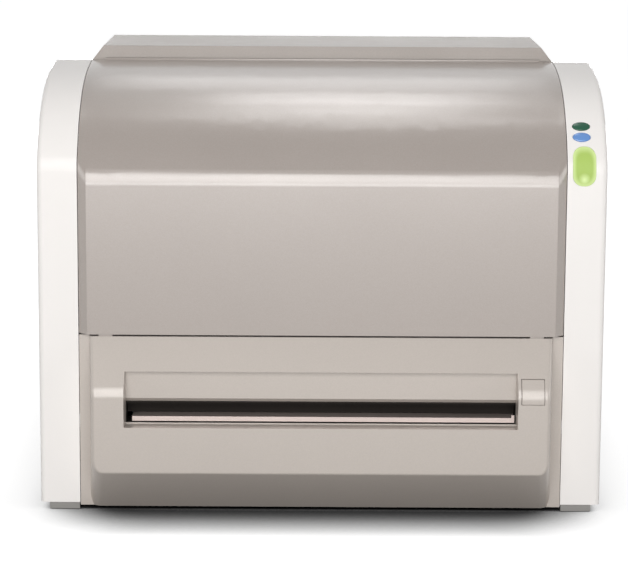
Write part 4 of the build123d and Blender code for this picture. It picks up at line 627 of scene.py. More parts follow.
@dataclass(frozen=True)
class Ring:
    """One cross-section of a turned piece: how far along, how wide and of how many sides.

    A ring with fewer than three sides is round.
    """

    along: float
    radius: float
    sides: int = 0

    def reach(self, angle: float) -> float:
        """Distance from the axis to the outline.

        Args:
            angle: where on the outline, in radians.

        Returns:
            The distance in millimetres.
        """
        if self.sides < 3:
            return self.radius
        part = 2 * math.pi / self.sides
        return self.radius * math.cos(part / 2) / math.cos((angle % part) - part / 2)


def round_angles(steps: int) -> list[float]:
    """Equal steps of a full turn, in radians."""
    return [2 * math.pi * step / steps for step in range(steps)]


class Form:
    """Mesh that is built up from solids, in millimetres in the frame."""

    def __init__(self) -> None:
        """Start with nothing."""
        self.mesh = bmesh.new()

    def box(self, low: Point, high: Point) -> "Form":
        """Add a block.

        Args:
            low: its lowest corner.
            high: its highest corner.

        Returns:
            This form.
        """
        x, y, z = zip(low, high)
        spots = [self.mesh.verts.new((x[i & 1], y[i >> 1 & 1], z[i >> 2])) for i in range(8)]
        for face in ((0, 2, 3, 1), (4, 5, 7, 6), (0, 1, 5, 4), (2, 6, 7, 3), (0, 4, 6, 2),
                     (1, 3, 7, 5)):
            self.mesh.faces.new([spots[i] for i in face])
        return self

    def skin(self, loops: Sequence[Sequence[Point]], closed: bool = False) -> "Form":
        """Add a surface over loops of points.

        Args:
            loops: loops with the same number of points, in order.
            closed: whether the last loop joins the first; the ends are closed if it doesn't.

        Returns:
            This form.
        """
        rows = [[self.mesh.verts.new(point) for point in loop] for loop in loops]
        for first, second in zip(rows, rows[1:] + rows[:1] if closed else rows[1:]):
            for step in range(len(first)):
                after = (step + 1) % len(first)
                self.mesh.faces.new((first[step], second[step], second[after], first[after]))
        if not closed:
            self.mesh.faces.new(rows[0])
            self.mesh.faces.new(rows[-1][::-1])
        return self

    def turned(self, centre: Point, axis: Point, rings: Sequence[Ring], steps: int = 24) -> "Form":
        """Add a closed piece from rings along an axis.

        Args:
            centre: where the axis starts.
            axis: its direction.
            rings: cross-sections in order; the first and the last are closed.
            steps: points round each ring.

        Returns:
            This form.
        """
        turn = Vector(axis).to_track_quat("Z", "Y").to_matrix()
        loops = []
        for ring in rings:
            loop = []
            for angle in round_angles(steps):
                reach = ring.reach(angle)
                spot = Vector((reach * math.cos(angle), reach * math.sin(angle), ring.along))
                loop.append(Vector(centre) + turn @ spot)
            loops.append(loop)
        return self.skin(loops)

    def strand(self, root: Point, tip: Point, thick: float) -> "Form":
        """Add a thin tapering strand.

        Args:
            root: middle of its square root.
            tip: where it ends.
            thick: width of the root.

        Returns:
            This form.
        """
        base = [self.mesh.verts.new(Vector(root) + Vector(offset) * thick / 2)
                for offset in ((-1, -1, 0), (1, -1, 0), (1, 1, 0), (-1, 1, 0))]
        point = self.mesh.verts.new(tip)
        for first, second in zip(base, base[1:] + base[:1]):
            self.mesh.faces.new((first, second, point))
        self.mesh.faces.new(base[::-1])
        return self

    def moved(self, matrix: Matrix) -> "Form":
        """Turn and shift everything so far."""
        self.mesh.transform(matrix)
        return self

    def metres(self) -> bmesh.types.BMesh:
        """Turn all faces outward and scale to metres.

        Returns:
            The mesh, ready to be added to the scene.
        """
        bmesh.ops.recalc_face_normals(self.mesh, faces=self.mesh.faces)
        self.mesh.transform(Matrix.Scale(MM, 4))
        return self.mesh


def screw_head(form: Form, spot: Point, axis: Point, radius: float, tall: float) -> None:
    """Add a pan head with a hexagon socket.

    Args:
        form: what it is added to.
        spot: middle of the face it sits on, in millimetres.
        axis: the way it looks out.
        radius: of the head.
        tall: height of the head.
    """
    crown = ((0, 1), (0.45, 1), (0.8, 0.86), (1, 0.6))
    socket, socket_floor = 0.46, 0.35
    rings = [Ring(tall * along, radius * wide) for along, wide in crown]
    rings += [Ring(tall * along, radius * socket, 6) for along in (1, socket_floor)]
    form.turned(spot, axis, rings)


def screws_at_corners(form: Form, low: Vector, high: Vector, inset: float, seat: float,
                      radius: float, tall: float) -> None:
    """Add four pan heads that look up, one near each corner of a flange.

    Args:
        form: what they are added to.
        low: lowest corner of the flange.
        high: highest corner of the flange.
        inset: how far the screws stand in from its edges.
        seat: height of the face they sit on.
        radius: of the heads.
        tall: height of the heads.
    """
    for x in (low.x + inset, high.x - inset):
        for y in (low.y + inset, high.y - inset):
            screw_head(form, (x, y, seat), UP, radius, tall)


class Workshop:
    """Holds the frame and the finishes, and puts pieces into the scene."""

    join_within = 2e-6
    flat_within = math.radians(0.1)
    facing = 0.7
    level = 0.999
    normal_weight = 80

    def __init__(self) -> None:
        """Load the frame and make every finish."""
        self.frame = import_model()
        self.bounds_at_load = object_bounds()
        library = ShaderLibrary()
        self.materials = {f.name: f.material(library) for f in ALL_FINISHES}
        self.body_of: dict[str, str] = {}
        for body, nodes in self.frame["record"]["behaviour"]["bodies"].items():
            self.body_of.update({node: body for node in nodes})
        slots = {f.slot: f for f in reversed(ALL_FINISHES)}
        for row in self.frame["record"]["subparts"]:
            self.dress(row["node"], slots[row["material_slot"]])

    def corners(self, node: str) -> tuple[Vector, Vector]:
        """Lowest and highest corner of a CAD node, in millimetres."""
        low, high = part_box(node)
        return Vector(low) / MM, Vector(high) / MM

    def middle(self, node: str) -> Vector:
        """Middle of a CAD node's box, in millimetres."""
        low, high = self.corners(node)
        return (low + high) / 2

    def copied(self, node: str) -> bmesh.types.BMesh:
        """Copy a CAD node's mesh and join its loose corners.

        Args:
            node: the CAD node.

        Returns:
            The closed copy, in metres.
        """
        form = bmesh.new()
        form.from_mesh(self.frame["nodes"][node].data)
        bmesh.ops.remove_doubles(form, verts=form.verts, dist=self.join_within)
        return form

    def merged(self, node: str) -> bmesh.types.BMesh:
        """Copy a CAD node and merge what is flat.

        Args:
            node: the CAD node.

        Returns:
            The copy with its flat faces merged, in metres.
        """
        form = self.copied(node)
        bmesh.ops.dissolve_limit(form, angle_limit=self.flat_within, verts=form.verts,
                                 edges=form.edges, delimit={"NORMAL"})
        return form

    def islands(self, node: str) -> list[tuple[Vector, Vector]]:
        """Find the separate solids in a CAD node.

        Args:
            node: the CAD node.

        Returns:
            Lowest and highest corner of each solid, in millimetres, in order of place.
        """
        form = self.copied(node)
        left, found = set(form.verts), []
        while left:
            queue, reached = [left.pop()], []
            while queue:
                vert = queue.pop()
                reached.append(vert.co / MM)
                for edge in vert.link_edges:
                    other = edge.other_vert(vert)
                    if other in left:
                        left.remove(other)
                        queue.append(other)
            found.append((Vector([min(p[i] for p in reached) for i in range(3)]),
                          Vector([max(p[i] for p in reached) for i in range(3)])))
        form.free()
        return sorted(found, key=lambda pair: tuple(pair[0]))

    def plate(self, node: str, toward: Point) -> Matrix:
        """Frame on the largest flat face of a CAD node that looks a given way.

        Args:
            node: the CAD node.
            toward: roughly where the face looks.

        Returns:
            Matrix with its origin in the face's middle, Z outward and X along world X, in
            millimetres.
        """
        mesh = self.frame["nodes"][node].data
        sight = Vector(toward).normalized()
        faces = [f for f in mesh.polygons if f.normal.dot(sight) > self.facing]
        up = max(faces, key=lambda f: f.area).normal.copy()
        flat = [f for f in faces if f.normal.dot(up) > self.level]
        total = sum(f.area for f in flat)
        middle = sum((f.center * f.area for f in flat), Vector()) / total / MM
        side = (Vector((1, 0, 0)) - up * up.x).normalized()
        frame = Matrix((side, up.cross(side), up)).transposed().to_4x4()
        return Matrix.Translation(middle) @ frame

    def dress(self, node: str, finish: Finish) -> None:
        """Give a CAD node its finish.

        Args:
            node: the CAD node.
            finish: its paint, plastic or metal.
        """
        mesh = self.frame["nodes"][node].data
        mesh.materials.clear()
        mesh.materials.append(self.materials[finish.name])
        LOG.debug("%s is %s", node, finish.name)

    def add(self, name: str, form: bmesh.types.BMesh, finish: Finish, body: str,
            stands_for: Sequence[str] = (), sharp: float = 35.0) -> bpy.types.Object:
        """Put a new piece into the scene.

        Args:
            name: the piece's name.
            form: its mesh, in metres in the frame, used up by this call.
            finish: its paint, plastic or metal.
            body: the CAD body it rides on.
            stands_for: CAD nodes that it replaces.
            sharp: edges with a larger angle than this stay sharp, in degrees.

        Returns:
            The new object.
        """
        mesh = bpy.data.meshes.new(name)
        form.to_mesh(mesh)
        form.free()
        for layer in ("custom_normal", "sharp_edge", "sharp_face"):
            if layer in mesh.attributes:
                mesh.attributes.remove(mesh.attributes[layer])
        mesh.materials.clear()
        mesh.materials.append(self.materials[finish.name])
        for face in mesh.polygons:
            face.material_index = 0
        mesh.shade_smooth()
        mesh.set_sharp_from_angle(angle=math.radians(sharp))
        piece = linked(name, mesh)
        if stands_for:
            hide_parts(*stands_for)
        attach(piece, body)
        LOG.info("%s rides on %s", name, body)
        return piece

    def softened(self, node: str, finish: Finish, width: float, segments: int = 2,
                 angle: float = 30.0) -> bpy.types.Object:
        """Stand-in for a CAD node whose edges are broken as the real ones are.

        Args:
            node: the CAD node.
            finish: its paint, plastic or metal.
            width: width of the broken edge, in metres.
            segments: steps round an edge.
            angle: edges with a smaller angle stay as they are, in degrees.

        Returns:
            The new object.
        """
        piece = self.add(f"{node}_finished", self.merged(node), finish, self.body_of[node],
                         (node,), sharp=angle)
        self.break_edges(piece, width, segments, angle)
        return piece

    def break_edges(self, piece: bpy.types.Object, width: float, segments: int,
                    angle: float) -> None:
        """Round a piece's sharp edges.

        Args:
            piece: the object.
            width: width of the rounding, in metres.
            segments: steps round an edge.
            angle: edges with a smaller angle stay as they are, in degrees.
        """
        bevel = piece.modifiers.new("broken edges", "BEVEL")
        bevel.width = width
        bevel.segments = segments
        bevel.limit_method = "ANGLE"
        bevel.angle_limit = math.radians(angle)
        bevel.use_clamp_overlap = True
        for edge in piece.data.edges:
            edge.use_edge_sharp = False
        even = piece.modifiers.new("even normals", "WEIGHTED_NORMAL")
        even.weight = self.normal_weight


@dataclass
class OuterCovers:
    """White side covers, grey hood, top cover, lower front cover and rear panel.

    The lip's outline is given across the hood, from the hood's highest rear corner. Bends
    gentler than the angles here stay smooth, in degrees.
    """

    cover_edge: float = 0.8 * MM
    grey_edge: float = 1.0 * MM
    top_edge: float = 2.2 * MM
    vent_edge: float = 0.3 * MM
    gentle_bend: float = 14.0
    block_bend: float = 25.0
    lip: tuple[Pair, ...] = ((-6.0, -0.9), (-5.3, 0.3), (-4.3, 1.1), (-3.0, 1.5), (-1.8, 1.3),
                             (-0.9, 0.6), (-0.6, -0.9))
    lip_half: float = 236.0

    def build(self, shop: Workshop) -> None:
        """Dress the covers and break their edges.

        Args:
            shop: the workshop that places the pieces.
        """
        for node in ("left_side_cover", "right_side_cover"):
            shop.softened(node, WHITE_COVER, self.cover_edge, 3)
        shop.softened("front_hood", GREY_COVER, self.grey_edge, 3, self.gentle_bend)
        # The top cover takes the grey paint darkened as painted shade.
        shop.softened("top_cover", GREY_TOP_PAINTED_SHADE, self.top_edge, 4, self.gentle_bend)
        self._rear_lip(shop)
        # The lower front cover takes the grey paint lightened as painted light.
        shop.softened("lower_front_cover", GREY_LOWER_PAINTED_LIGHT, self.grey_edge, 3, self.block_bend)
        shop.softened("rear_cover", REAR_PANEL, self.vent_edge)

    def _rear_lip(self, shop: Workshop) -> None:
        """Add the rounded lip on which the hood ends before the top cover's riser.

        Args:
            shop: the workshop that places the pieces.
        """
        high = shop.corners("front_hood")[1]
        ends = [[(side * self.lip_half, high.y + y, high.z + z) for y, z in self.lip]
                for side in (-1, 1)]
        shop.add("hood_rear_lip", Form().skin(ends).metres(), GREY_COVER, "housing", sharp=60)


def scatter(index: int, row: int) -> float:
    """Number from 0 to 1 that looks random and is the same each run."""
    return math.sin(index * 12.9898 + row * 78.233) * 43758.5453 % 1


@dataclass
class CassetteSlot:
    """Bristle strip, light flap, bright tray lip, release key and lock lever of the slot."""

    bristle: float = 0.35
    pitch: float = 1.5
    rows: int = 2
    backing: float = 1.7
    splay: float = 0.5
    uneven: float = 0.8

    def build(self, shop: Workshop) -> None:
        """Make the bristles one by one and finish the pieces round them.

        Args:
            shop: the workshop that places the pieces.
        """
        low, high = shop.corners("slot_brush")
        form = Form().box((low.x, low.y, high.z - self.backing), tuple(high))
        count = int((high.x - low.x) / self.pitch)
        for row in range(self.rows):
            y = low.y + (row + 0.5) * (high.y - low.y) / self.rows
            for index in range(count):
                sway = scatter(index, row)
                x = low.x + (index + 0.5 + row * 0.4) * self.pitch
                x = min(max(x, low.x + self.bristle), high.x - self.bristle)
                aside = (sway - 0.5) * self.splay
                tip = (x + aside, y + aside * 0.8, low.z + sway * self.uneven)
                form.strand((x, y, high.z - self.backing + 0.1), tip, self.bristle)
        shop.add("slot_bristles", form.metres(), BRISTLE, "housing", ("slot_brush",))
        for node, finish, edge, segments in (("slot_flap", SLOT_BLACK, 0.25, 2),
                                             ("slot_liner", SLOT_BLACK, 0.3, 2),
                                             ("cassette_tray_lip", TRAY_STEEL, 0.2, 3),
                                             # The release key takes the grey paint lightened as
                                             # painted light.
                                             ("release_button", GREY_LOWER_PAINTED_LIGHT, 0.6, 3),
                                             ("lock_lever", SHEET_STEEL, 0.3, 2)):
            shop.softened(node, finish, edge * MM, segments)


@dataclass
class KeyPanel:
    """Oval keys, glowing window and the small board behind them.

    The crown holds the shares of a key's width at which its dome has a ring. Sizes of leads and
    resistors are across, along and above the board.
    """

    half_wide: float = 9.1
    half_tall: float = 5.3
    dome: float = 1.0
    flange: float = 1.2
    crown: tuple[float, ...] = (0.985, 0.94, 0.86, 0.74, 0.6, 0.4, 0.15)
    window_edge: float = 1.4 * MM
    slope: Point = (0, -0.6, 0.8)
    lamp_spots: tuple[Pair, ...] = ((-5, 6.5), (-5, -5.5), (5, -12.5), (9, -12.5))
    lamp: tuple[Ring, ...] = (Ring(0, 1.5), Ring(0.5, 1.5), Ring(0.9, 0.9))
    driver: tuple[Point, Point] = ((2, -1, 0), (8, 5, 1.1))
    connector: tuple[Point, Point] = ((-10, -13, 0), (-3, -10.5, 2.2))
    lead: Point = (0.5, 0.4, 0.25)
    leads: int = 6
    resistor: Point = (1.6, 0.9, 0.5)
    resistors: int = 6
    resistor_start: Pair = (-11.0, 12.0)
    resistor_pitch: float = 3.6

    def build(self, shop: Workshop) -> None:
        """Model the domed keys, finish the window and fill the board.

        Args:
            shop: the workshop that places the pieces.
        """
        shop.softened("status_light", GREEN_WINDOW, self.window_edge, 5)
        self._key(shop, "upper", GREEN_KEY)
        self._key(shop, "lower", BLUE_KEY)
        self._board(shop)

    def _key(self, shop: Workshop, place: str, finish: Finish) -> None:
        """Model one oval key as deep as its CAD node, with a domed face.

        Args:
            shop: the workshop that places the pieces.
            place: which of the two keys, upper or lower.
            finish: the key's plastic.
        """
        node = f"{place}_oval_button"
        top = shop.plate(node, self.slope)
        spots = [top.inverted() @ (vert.co / MM) for vert in
                 shop.frame["nodes"][node].data.vertices]
        back = min(spot.z for spot in spots)
        front = max(spot.z for spot in spots)
        foot = max(spot.x for spot in spots)
        wide = self.half_wide
        rings = [Ring(back, foot), Ring(back + self.flange, foot),
                 Ring(back + self.flange + 0.05, wide), Ring(front - self.dome, wide)]
        for share in self.crown:
            drop = self.dome * (1 - math.sqrt(1 - share ** 2))
            rings.append(Ring(front - drop, wide * share))
        form = Form().turned((0, 0, 0), UP, rings, 48)
        form.moved(Matrix.Diagonal((1, self.half_tall / wide, 1, 1)))
        shop.add(f"{place}_key_dome", form.moved(top).metres(), finish, f"{place}_key", (node,))

    def _board(self, shop: Workshop) -> None:
        """Fill the small board with lamps, a driver chip, resistors and a connector.

        Args:
            shop: the workshop that places the pieces.
        """
        frame = shop.plate("indicator_board", self.slope)
        lamps, chips, metal = Form(), Form(), Form()
        for x, y in self.lamp_spots:
            lamps.turned((x, y, 0), UP, self.lamp, 16)
        chips.box(*self.driver).box(*self.connector)
        left, front = self.resistor_start
        wide, long, tall = self.resistor
        for index in range(self.resistors):
            x = left + index * self.resistor_pitch
            chips.box((x, front, 0), (x + wide, front + long, tall))
        low, high = self.driver
        out, thick, tall = self.lead
        for index in range(self.leads):
            y = low[1] + thick / 2 + index
            metal.box((low[0] - out, y, 0), (high[0] + out, y + thick, tall))
        pieces = (("indicator_lamps", lamps, LAMP_PLASTIC), ("indicator_chips", chips, CHIP_BLACK),
                  ("indicator_leads", metal, BRIGHT_STEEL))
        for name, form, finish in pieces:
            shop.add(name, form.moved(frame).metres(), finish, "housing")


@dataclass
class RearFittings:
    """Screws, inlet pins, socket contacts and rocker on the back.

    Pins and contacts are given as wide, long and tall.
    """

    pin: Point = (2.0, 14.0, 4.5)
    pin_spots: tuple[Pair, ...] = ((-7, -2), (7, -2), (0, 3))
    recess: float = 3.0
    contacts: int = 8
    contact: Point = (0.5, 9.0, 0.5)
    contact_drop: float = 4.4
    contact_span: float = 0.62

    def build(self, shop: Workshop) -> None:
        """Make screws and contacts, and finish the mouldings round them.

        Args:
            shop: the workshop that places the pieces.
        """
        heads = Form()
        for low, high in shop.islands("rear_cover_screws"):
            spot = ((low.x + high.x) / 2, low.y, (low.z + high.z) / 2)
            screw_head(heads, spot, BACKWARD, (high.x - low.x) / 2, high.y - low.y)
        shop.add("rear_screw_heads", heads.metres(), BRIGHT_STEEL, "housing",
                 ("rear_cover_screws",))
        middle = shop.middle("mains_inlet")
        mouth = shop.corners("mains_inlet")[1].y - self.recess
        pins = Form()
        wide, long, tall = self.pin
        for x, z in self.pin_spots:
            pins.box((middle.x + x - wide / 2, mouth - long, middle.z + z - tall / 2),
                     (middle.x + x + wide / 2, mouth, middle.z + z + tall / 2))
        shop.add("inlet_pins", pins.metres(), GOLD_CONTACT, "housing")
        contacts = Form()
        wide, long, tall = self.contact
        for low, high in shop.islands("network_sockets"):
            step = (high.x - low.x) * self.contact_span / self.contacts
            start = (low.x + high.x - step * (self.contacts - 1)) / 2
            mouth, bottom = high.y - self.recess, high.z - self.contact_drop
            for index in range(self.contacts):
                x = start + index * step
                contacts.box((x - wide / 2, mouth - long, bottom),
                             (x + wide / 2, mouth, bottom + tall))
        shop.add("socket_contacts", contacts.metres(), GOLD_CONTACT, "housing")
        for node in ("mains_inlet", "switch_frame", "network_sockets", "fan_housing"):
            shop.softened(node, BLACK_PLASTIC, 0.4 * MM)
        shop.softened("switch_rocker", BLACK_PLASTIC, 0.5 * MM, 3)
        shop.softened("fan_rotor", BLACK_PLASTIC, 0.3 * MM)


@dataclass(frozen=True)
class Chip:
    """Flat chip with leads on two sides, placed from the board's left front corner."""

    x: float
    y: float
    wide: float
    long: float
    tall: float = 1.8
    lead: Point = (1.4, 0.8, 0.5)
    first_lead: float = 1.5
    pitch: float = 2.0

    def place(self, corner: Point, body: Form, metal: Form) -> None:
        """Add the chip and its leads.

        Args:
            corner: the board's left front corner, on its upper face.
            body: form that holds the packages.
            metal: form that holds the leads.
        """
        x, y, z = corner[0] + self.x, corner[1] + self.y, corner[2]
        body.box((x, y, z), (x + self.wide, y + self.long, z + self.tall))
        out, thick, tall = self.lead
        for index in range(int(self.long / self.pitch) - 1):
            row = y + self.first_lead + index * self.pitch
            metal.box((x - out, row, z), (x + self.wide + out, row + thick, z + tall))


@dataclass(frozen=True)
class Capacitor:
    """Round capacitor with a rolled groove, placed from the board's left front corner."""

    x: float
    y: float
    radius: float
    tall: float

    def place(self, corner: Point, metal: Form) -> None:
        """Add the capacitor.

        Args:
            corner: the board's left front corner, on its upper face.
            metal: form that holds the cans.
        """
        outline = ((0, 1), (0.8, 1), (1.3, 0.93), (1.8, 1), (self.tall - 0.6, 1),
                   (self.tall, 0.88))
        rings = [Ring(along, self.radius * wide) for along, wide in outline]
        metal.turned((corner[0] + self.x, corner[1] + self.y, corner[2]), UP, rings)


@dataclass(frozen=True)
class PinHeader:
    """Moulded connector with a row of pins, placed from the board's left front corner."""

    x: float
    y: float
    pins: int
    wide: float = 6.0
    tall: float = 8.0
    pitch: float = 2.5
    margin: float = 3.0
    pin: float = 0.8
    first_pin: float = 2.2
    pin_reach: Pair = (7.0, 9.4)

    def place(self, corner: Point, body: Form, metal: Form) -> None:
        """Add the connector and its pins.

        Args:
            corner: the board's left front corner, on its upper face.
            body: form that holds the mouldings.
            metal: form that holds the pins.
        """
        x, y, z = corner[0] + self.x, corner[1] + self.y, corner[2]
        long = self.pins * self.pitch + self.margin
        body.box((x, y, z), (x + self.wide, y + long, z + self.tall))
        side = x + (self.wide - self.pin) / 2
        low, high = self.pin_reach
        for index in range(self.pins):
            row = y + self.first_pin + index * self.pitch
            metal.box((side, row, z + low), (side + self.pin, row + self.pin, z + high))


@dataclass
class Electronics:
    """Components of the main board and the ribbed face of the power supply.

    The inset of the ribs is from the sides, from the front, and the width of one rib.
    """

    chips: tuple[Chip, ...] = (
        Chip(40, 60, 28, 28), Chip(90, 58, 16, 22), Chip(124, 60, 12, 18), Chip(40, 130, 20, 14),
        Chip(78, 132, 14, 14), Chip(112, 128, 22, 22), Chip(48, 190, 12, 30),
        Chip(84, 196, 18, 12), Chip(120, 190, 10, 10))
    capacitors: tuple[Capacitor, ...] = (
        Capacitor(20, 30, 5, 12), Capacitor(34, 28, 5, 12), Capacitor(50, 30, 4, 9),
        Capacitor(146, 30, 6, 16), Capacitor(146, 48, 6, 16), Capacitor(22, 250, 4, 8))
    headers: tuple[PinHeader, ...] = (PinHeader(16, 90, 10), PinHeader(16, 150, 8),
                                      PinHeader(160, 100, 12), PinHeader(160, 190, 6))
    screw_inset: float = 9.0
    sink_corner: Point = (112.8, 129.0, 1.8)
    sink_fin: Point = (0.9, 20.0, 10.2)
    sink_fins: int = 9
    sink_pitch: float = 2.4
    ribs: int = 22
    rib: float = 0.8
    rib_pitch: float = 7.5
    rib_inset: Point = (12.0, 14.0, 3.0)

    def build(self, shop: Workshop) -> None:
        """Fill the board and rib the supply's cover.

        Args:
            shop: the workshop that places the pieces.
        """
        low, high = shop.corners("main_board")
        corner = (low.x, low.y, high.z)
        packages, metal, mouldings = Form(), Form(), Form()
        for chip in self.chips:
            chip.place(corner, packages, metal)
        for capacitor in self.capacitors:
            capacitor.place(corner, metal)
        for header in self.headers:
            header.place(corner, mouldings, metal)
        start = Vector(corner) + Vector(self.sink_corner)
        for index in range(self.sink_fins):
            fin = start + Vector((index * self.sink_pitch, 0, 0))
            metal.box(tuple(fin), tuple(fin + Vector(self.sink_fin)))
        screws_at_corners(metal, low, high, self.screw_inset, high.z, 3.0, 2.0)
        shop.add("board_chips", packages.metres(), CHIP_BLACK, "housing")
        shop.add("board_metal_parts", metal.metres(), BRIGHT_STEEL, "housing")
        shop.add("board_connectors", mouldings.metres(), GUIDE_PLASTIC, "housing")
        low, high = shop.corners("power_supply")
        ribs = Form()
        side, front, wide = self.rib_inset
        for index in range(self.ribs):
            y = low.y + front + index * self.rib_pitch
            ribs.box((low.x + side, y, high.z), (high.x - side, y + wide, high.z + self.rib))
        shop.add("supply_ribs", ribs.metres(), SHEET_STEEL, "housing")
        shop.softened("power_supply", SHEET_STEEL, 0.5 * MM)


@dataclass
class PickupDrive:
    """Lead screw with its thread, carriage, motor and the screws of the side frames.

    The frame's screws stand on its outer faces, in rows along Y and at heights along Z.
    """

    lead: float = 20.0
    starts: int = 4
    groove: float = 0.7
    pitch: float = 1.0
    sides: int = 32
    journal: float = 3.5
    journal_long: float = 12.0
    shoulder: float = 0.1
    motor_inset: float = 5.5
    frame_face: float = 229.0
    beam_rows: Pair = (-262.0, 156.5)
    beam_heights: Point = (156.0, 183.0, 210.0)
    base_rows: tuple[float, ...] = (-280.0, -120.0, 40.0, 300.0)
    base_height: float = 14.0

    def build(self, shop: Workshop) -> None:
        """Cut the thread and finish the drive.

        Args:
            shop: the workshop that places the pieces.
        """
        self._screw(shop)
        shop.softened("pickup_carriage", GUIDE_PLASTIC, 0.6 * MM)
        shop.softened("carriage_motor", MOTOR_METAL, 0.8 * MM, 3)
        heads = Form()
        low, high = shop.corners("carriage_motor")
        for x in (low.x + self.motor_inset, high.x - self.motor_inset):
            for z in (low.z + self.motor_inset, high.z - self.motor_inset):
                screw_head(heads, (x, high.y, z), BACKWARD, 2.6, 2.0)
        spots = [(y, z) for y in self.beam_rows for z in self.beam_heights]
        spots += [(y, self.base_height) for y in self.base_rows]
        for side in (-1, 1):
            for y, z in spots:
                screw_head(heads, (side * self.frame_face, y, z), (side, 0, 0), 3.2, 1.8)
        shop.add("frame_screws", heads.metres(), BRIGHT_STEEL, "housing")

    def _screw(self, shop: Workshop) -> None:
        """Cut the lead screw's thread between its two plain journals.

        Args:
            shop: the workshop that places the pieces.
        """
        low, high = shop.corners("lead_screw")
        radius = (high.x - low.x) / 2
        middle = shop.middle("lead_screw")
        plain_long = self.journal_long - self.shoulder
        count = int((high.y - low.y - 2 * self.journal_long) / self.pitch)
        stations = [(low.y, self.journal), (low.y + plain_long, self.journal)]
        stations += [(low.y + self.journal_long + index * self.pitch, 0.0)
                     for index in range(count + 1)]
        stations += [(high.y - plain_long, self.journal), (high.y, self.journal)]
        loops = []
        for y, plain in stations:
            loop = []
            for angle in round_angles(self.sides):
                wave = (angle / (2 * math.pi) * self.starts + y / self.lead * self.starts) % 1
                # The groove is a triangle that takes up the middle half of each wave.
                reach = plain or radius - self.groove * max(0.0, 1 - abs(wave - 0.5) * 4)
                loop.append((middle.x + reach * math.cos(angle), y,
                             middle.z + reach * math.sin(angle)))
            loops.append(loop)
        shop.add("threaded_screw", Form().skin(loops).metres(), BRIGHT_STEEL, "screw",
                 ("lead_screw",), 60)


@dataclass
class PlateTransport:
    """Bearings with shields, drive motor and its pulley."""

    sides: int = 32
    bore: float = 5.06
    inner_ring: float = 0.9
    outer_ring: float = 0.8
    shield_set: float = 0.5

    def build(self, shop: Workshop) -> None:
        """Make the bearings' faces and finish the drive.

        Args:
            shop: the workshop that places the pieces.
        """
        rings = Form()
        for low, high in shop.islands("roller_bearings"):
            self._bearing(rings, low, high)
        shop.add("shielded_bearings", rings.metres(), BRIGHT_STEEL, "housing",
                 ("roller_bearings",))
        shop.softened("transport_motor", MOTOR_METAL, 0.6 * MM)
        shop.softened("motor_pulley", SHEET_STEEL, 0.2 * MM)

    def _bearing(self, form: Form, low: Vector, high: Vector) -> None:
        """Add one bearing along X with a recessed shield on both sides.

        Args:
            form: what it is added to.
            low: lowest corner of the bearing.
            high: highest corner of the bearing.
        """
        middle = (low + high) / 2
        outer, wide, depth = (high.z - low.z) / 2, high.x - low.x, self.shield_set
        inside, outside = self.bore + self.inner_ring, outer - self.outer_ring
        front = [(0, self.bore), (0, inside), (depth, inside), (depth, outside), (0, outside),
                 (0, outer)]
        back = [(wide - along, reach) for along, reach in reversed(front)]
        form.skin([[(low.x + along, middle.y + reach * math.cos(angle),
                     middle.z + reach * math.sin(angle)) for angle in round_angles(self.sides)]
                   for along, reach in front + back], closed=True)


@dataclass
class ScanOptics:
    """Fasteners, fins and pins of the laser, the polygon and the light detector.

    A screw is given as radius and height, and a fin as thickness, inset and height.
    """

    flange_height: float = 12.0
    motor_inset: float = 5.0
    laser_inset: float = 6.0
    screw: Pair = (2.4, 1.8)
    clamp: tuple[Ring, ...] = (Ring(0, 7), Ring(1.2, 7), Ring(1.8, 6.2), Ring(1.8, 4.4),
                               Ring(1.0, 4.2))
    fins: int = 9
    fin_start: float = 20.0
    fin_pitch: float = 7.0
    fin: Point = (2.0, 3.0, 3.0)
    tube_cap: tuple[Ring, ...] = (Ring(0, 17), Ring(2.2, 17), Ring(3.0, 16), Ring(3.0, 12),
                                  Ring(1.0, 11.6))
    tube_pins: int = 8
    pin_circle: float = 8.0
    pin: tuple[Ring, ...] = (Ring(0, 0.8), Ring(4.0, 0.8), Ring(4.5, 0.4))

    def build(self, shop: Workshop) -> None:
        """Add clamp, fins, pins and screws, and finish the housings.

        Args:
            shop: the workshop that places the pieces.
        """
        heads, cast, pins = Form(), Form(), Form()
        low, high = shop.corners("polygon_motor")
        seat = low.z + self.flange_height
        screws_at_corners(heads, low, high, self.motor_inset, seat, *self.screw)
        top = shop.corners("polygon_mirror")[1].z
        middle = shop.middle("polygon_mirror")
        clamp = Form().turned((middle.x, middle.y, top), UP, self.clamp)
        shop.add("mirror_clamp", clamp.metres(), SHEET_STEEL, "mirror_wheel")
        low, high = shop.corners("laser_module")
        screws_at_corners(heads, low, high, self.laser_inset, high.z, *self.screw)
        thick, inset, tall = self.fin
        for index in range(self.fins):
            x = low.x + self.fin_start + index * self.fin_pitch
            cast.box((x, low.y + inset, high.z), (x + thick, high.y - inset, high.z + tall))
        top = shop.corners("photomultiplier")[1].z
        middle = shop.middle("photomultiplier")
        cast.turned((middle.x, middle.y, top), UP, self.tube_cap)
        for angle in round_angles(self.tube_pins):
            spot = (middle.x + self.pin_circle * math.cos(angle),
                    middle.y + self.pin_circle * math.sin(angle), top)
            pins.turned(spot, UP, self.pin, 12)
        shop.add("optics_screws", heads.metres(), BRIGHT_STEEL, "housing")
        shop.add("cooling_fins", cast.metres(), CAST_ALUMINIUM, "housing")
        shop.add("tube_pins", pins.metres(), GOLD_CONTACT, "housing")
        for node in ("optics_bed", "polygon_motor", "laser_module"):
            shop.softened(node, CAST_ALUMINIUM, 0.7 * MM)


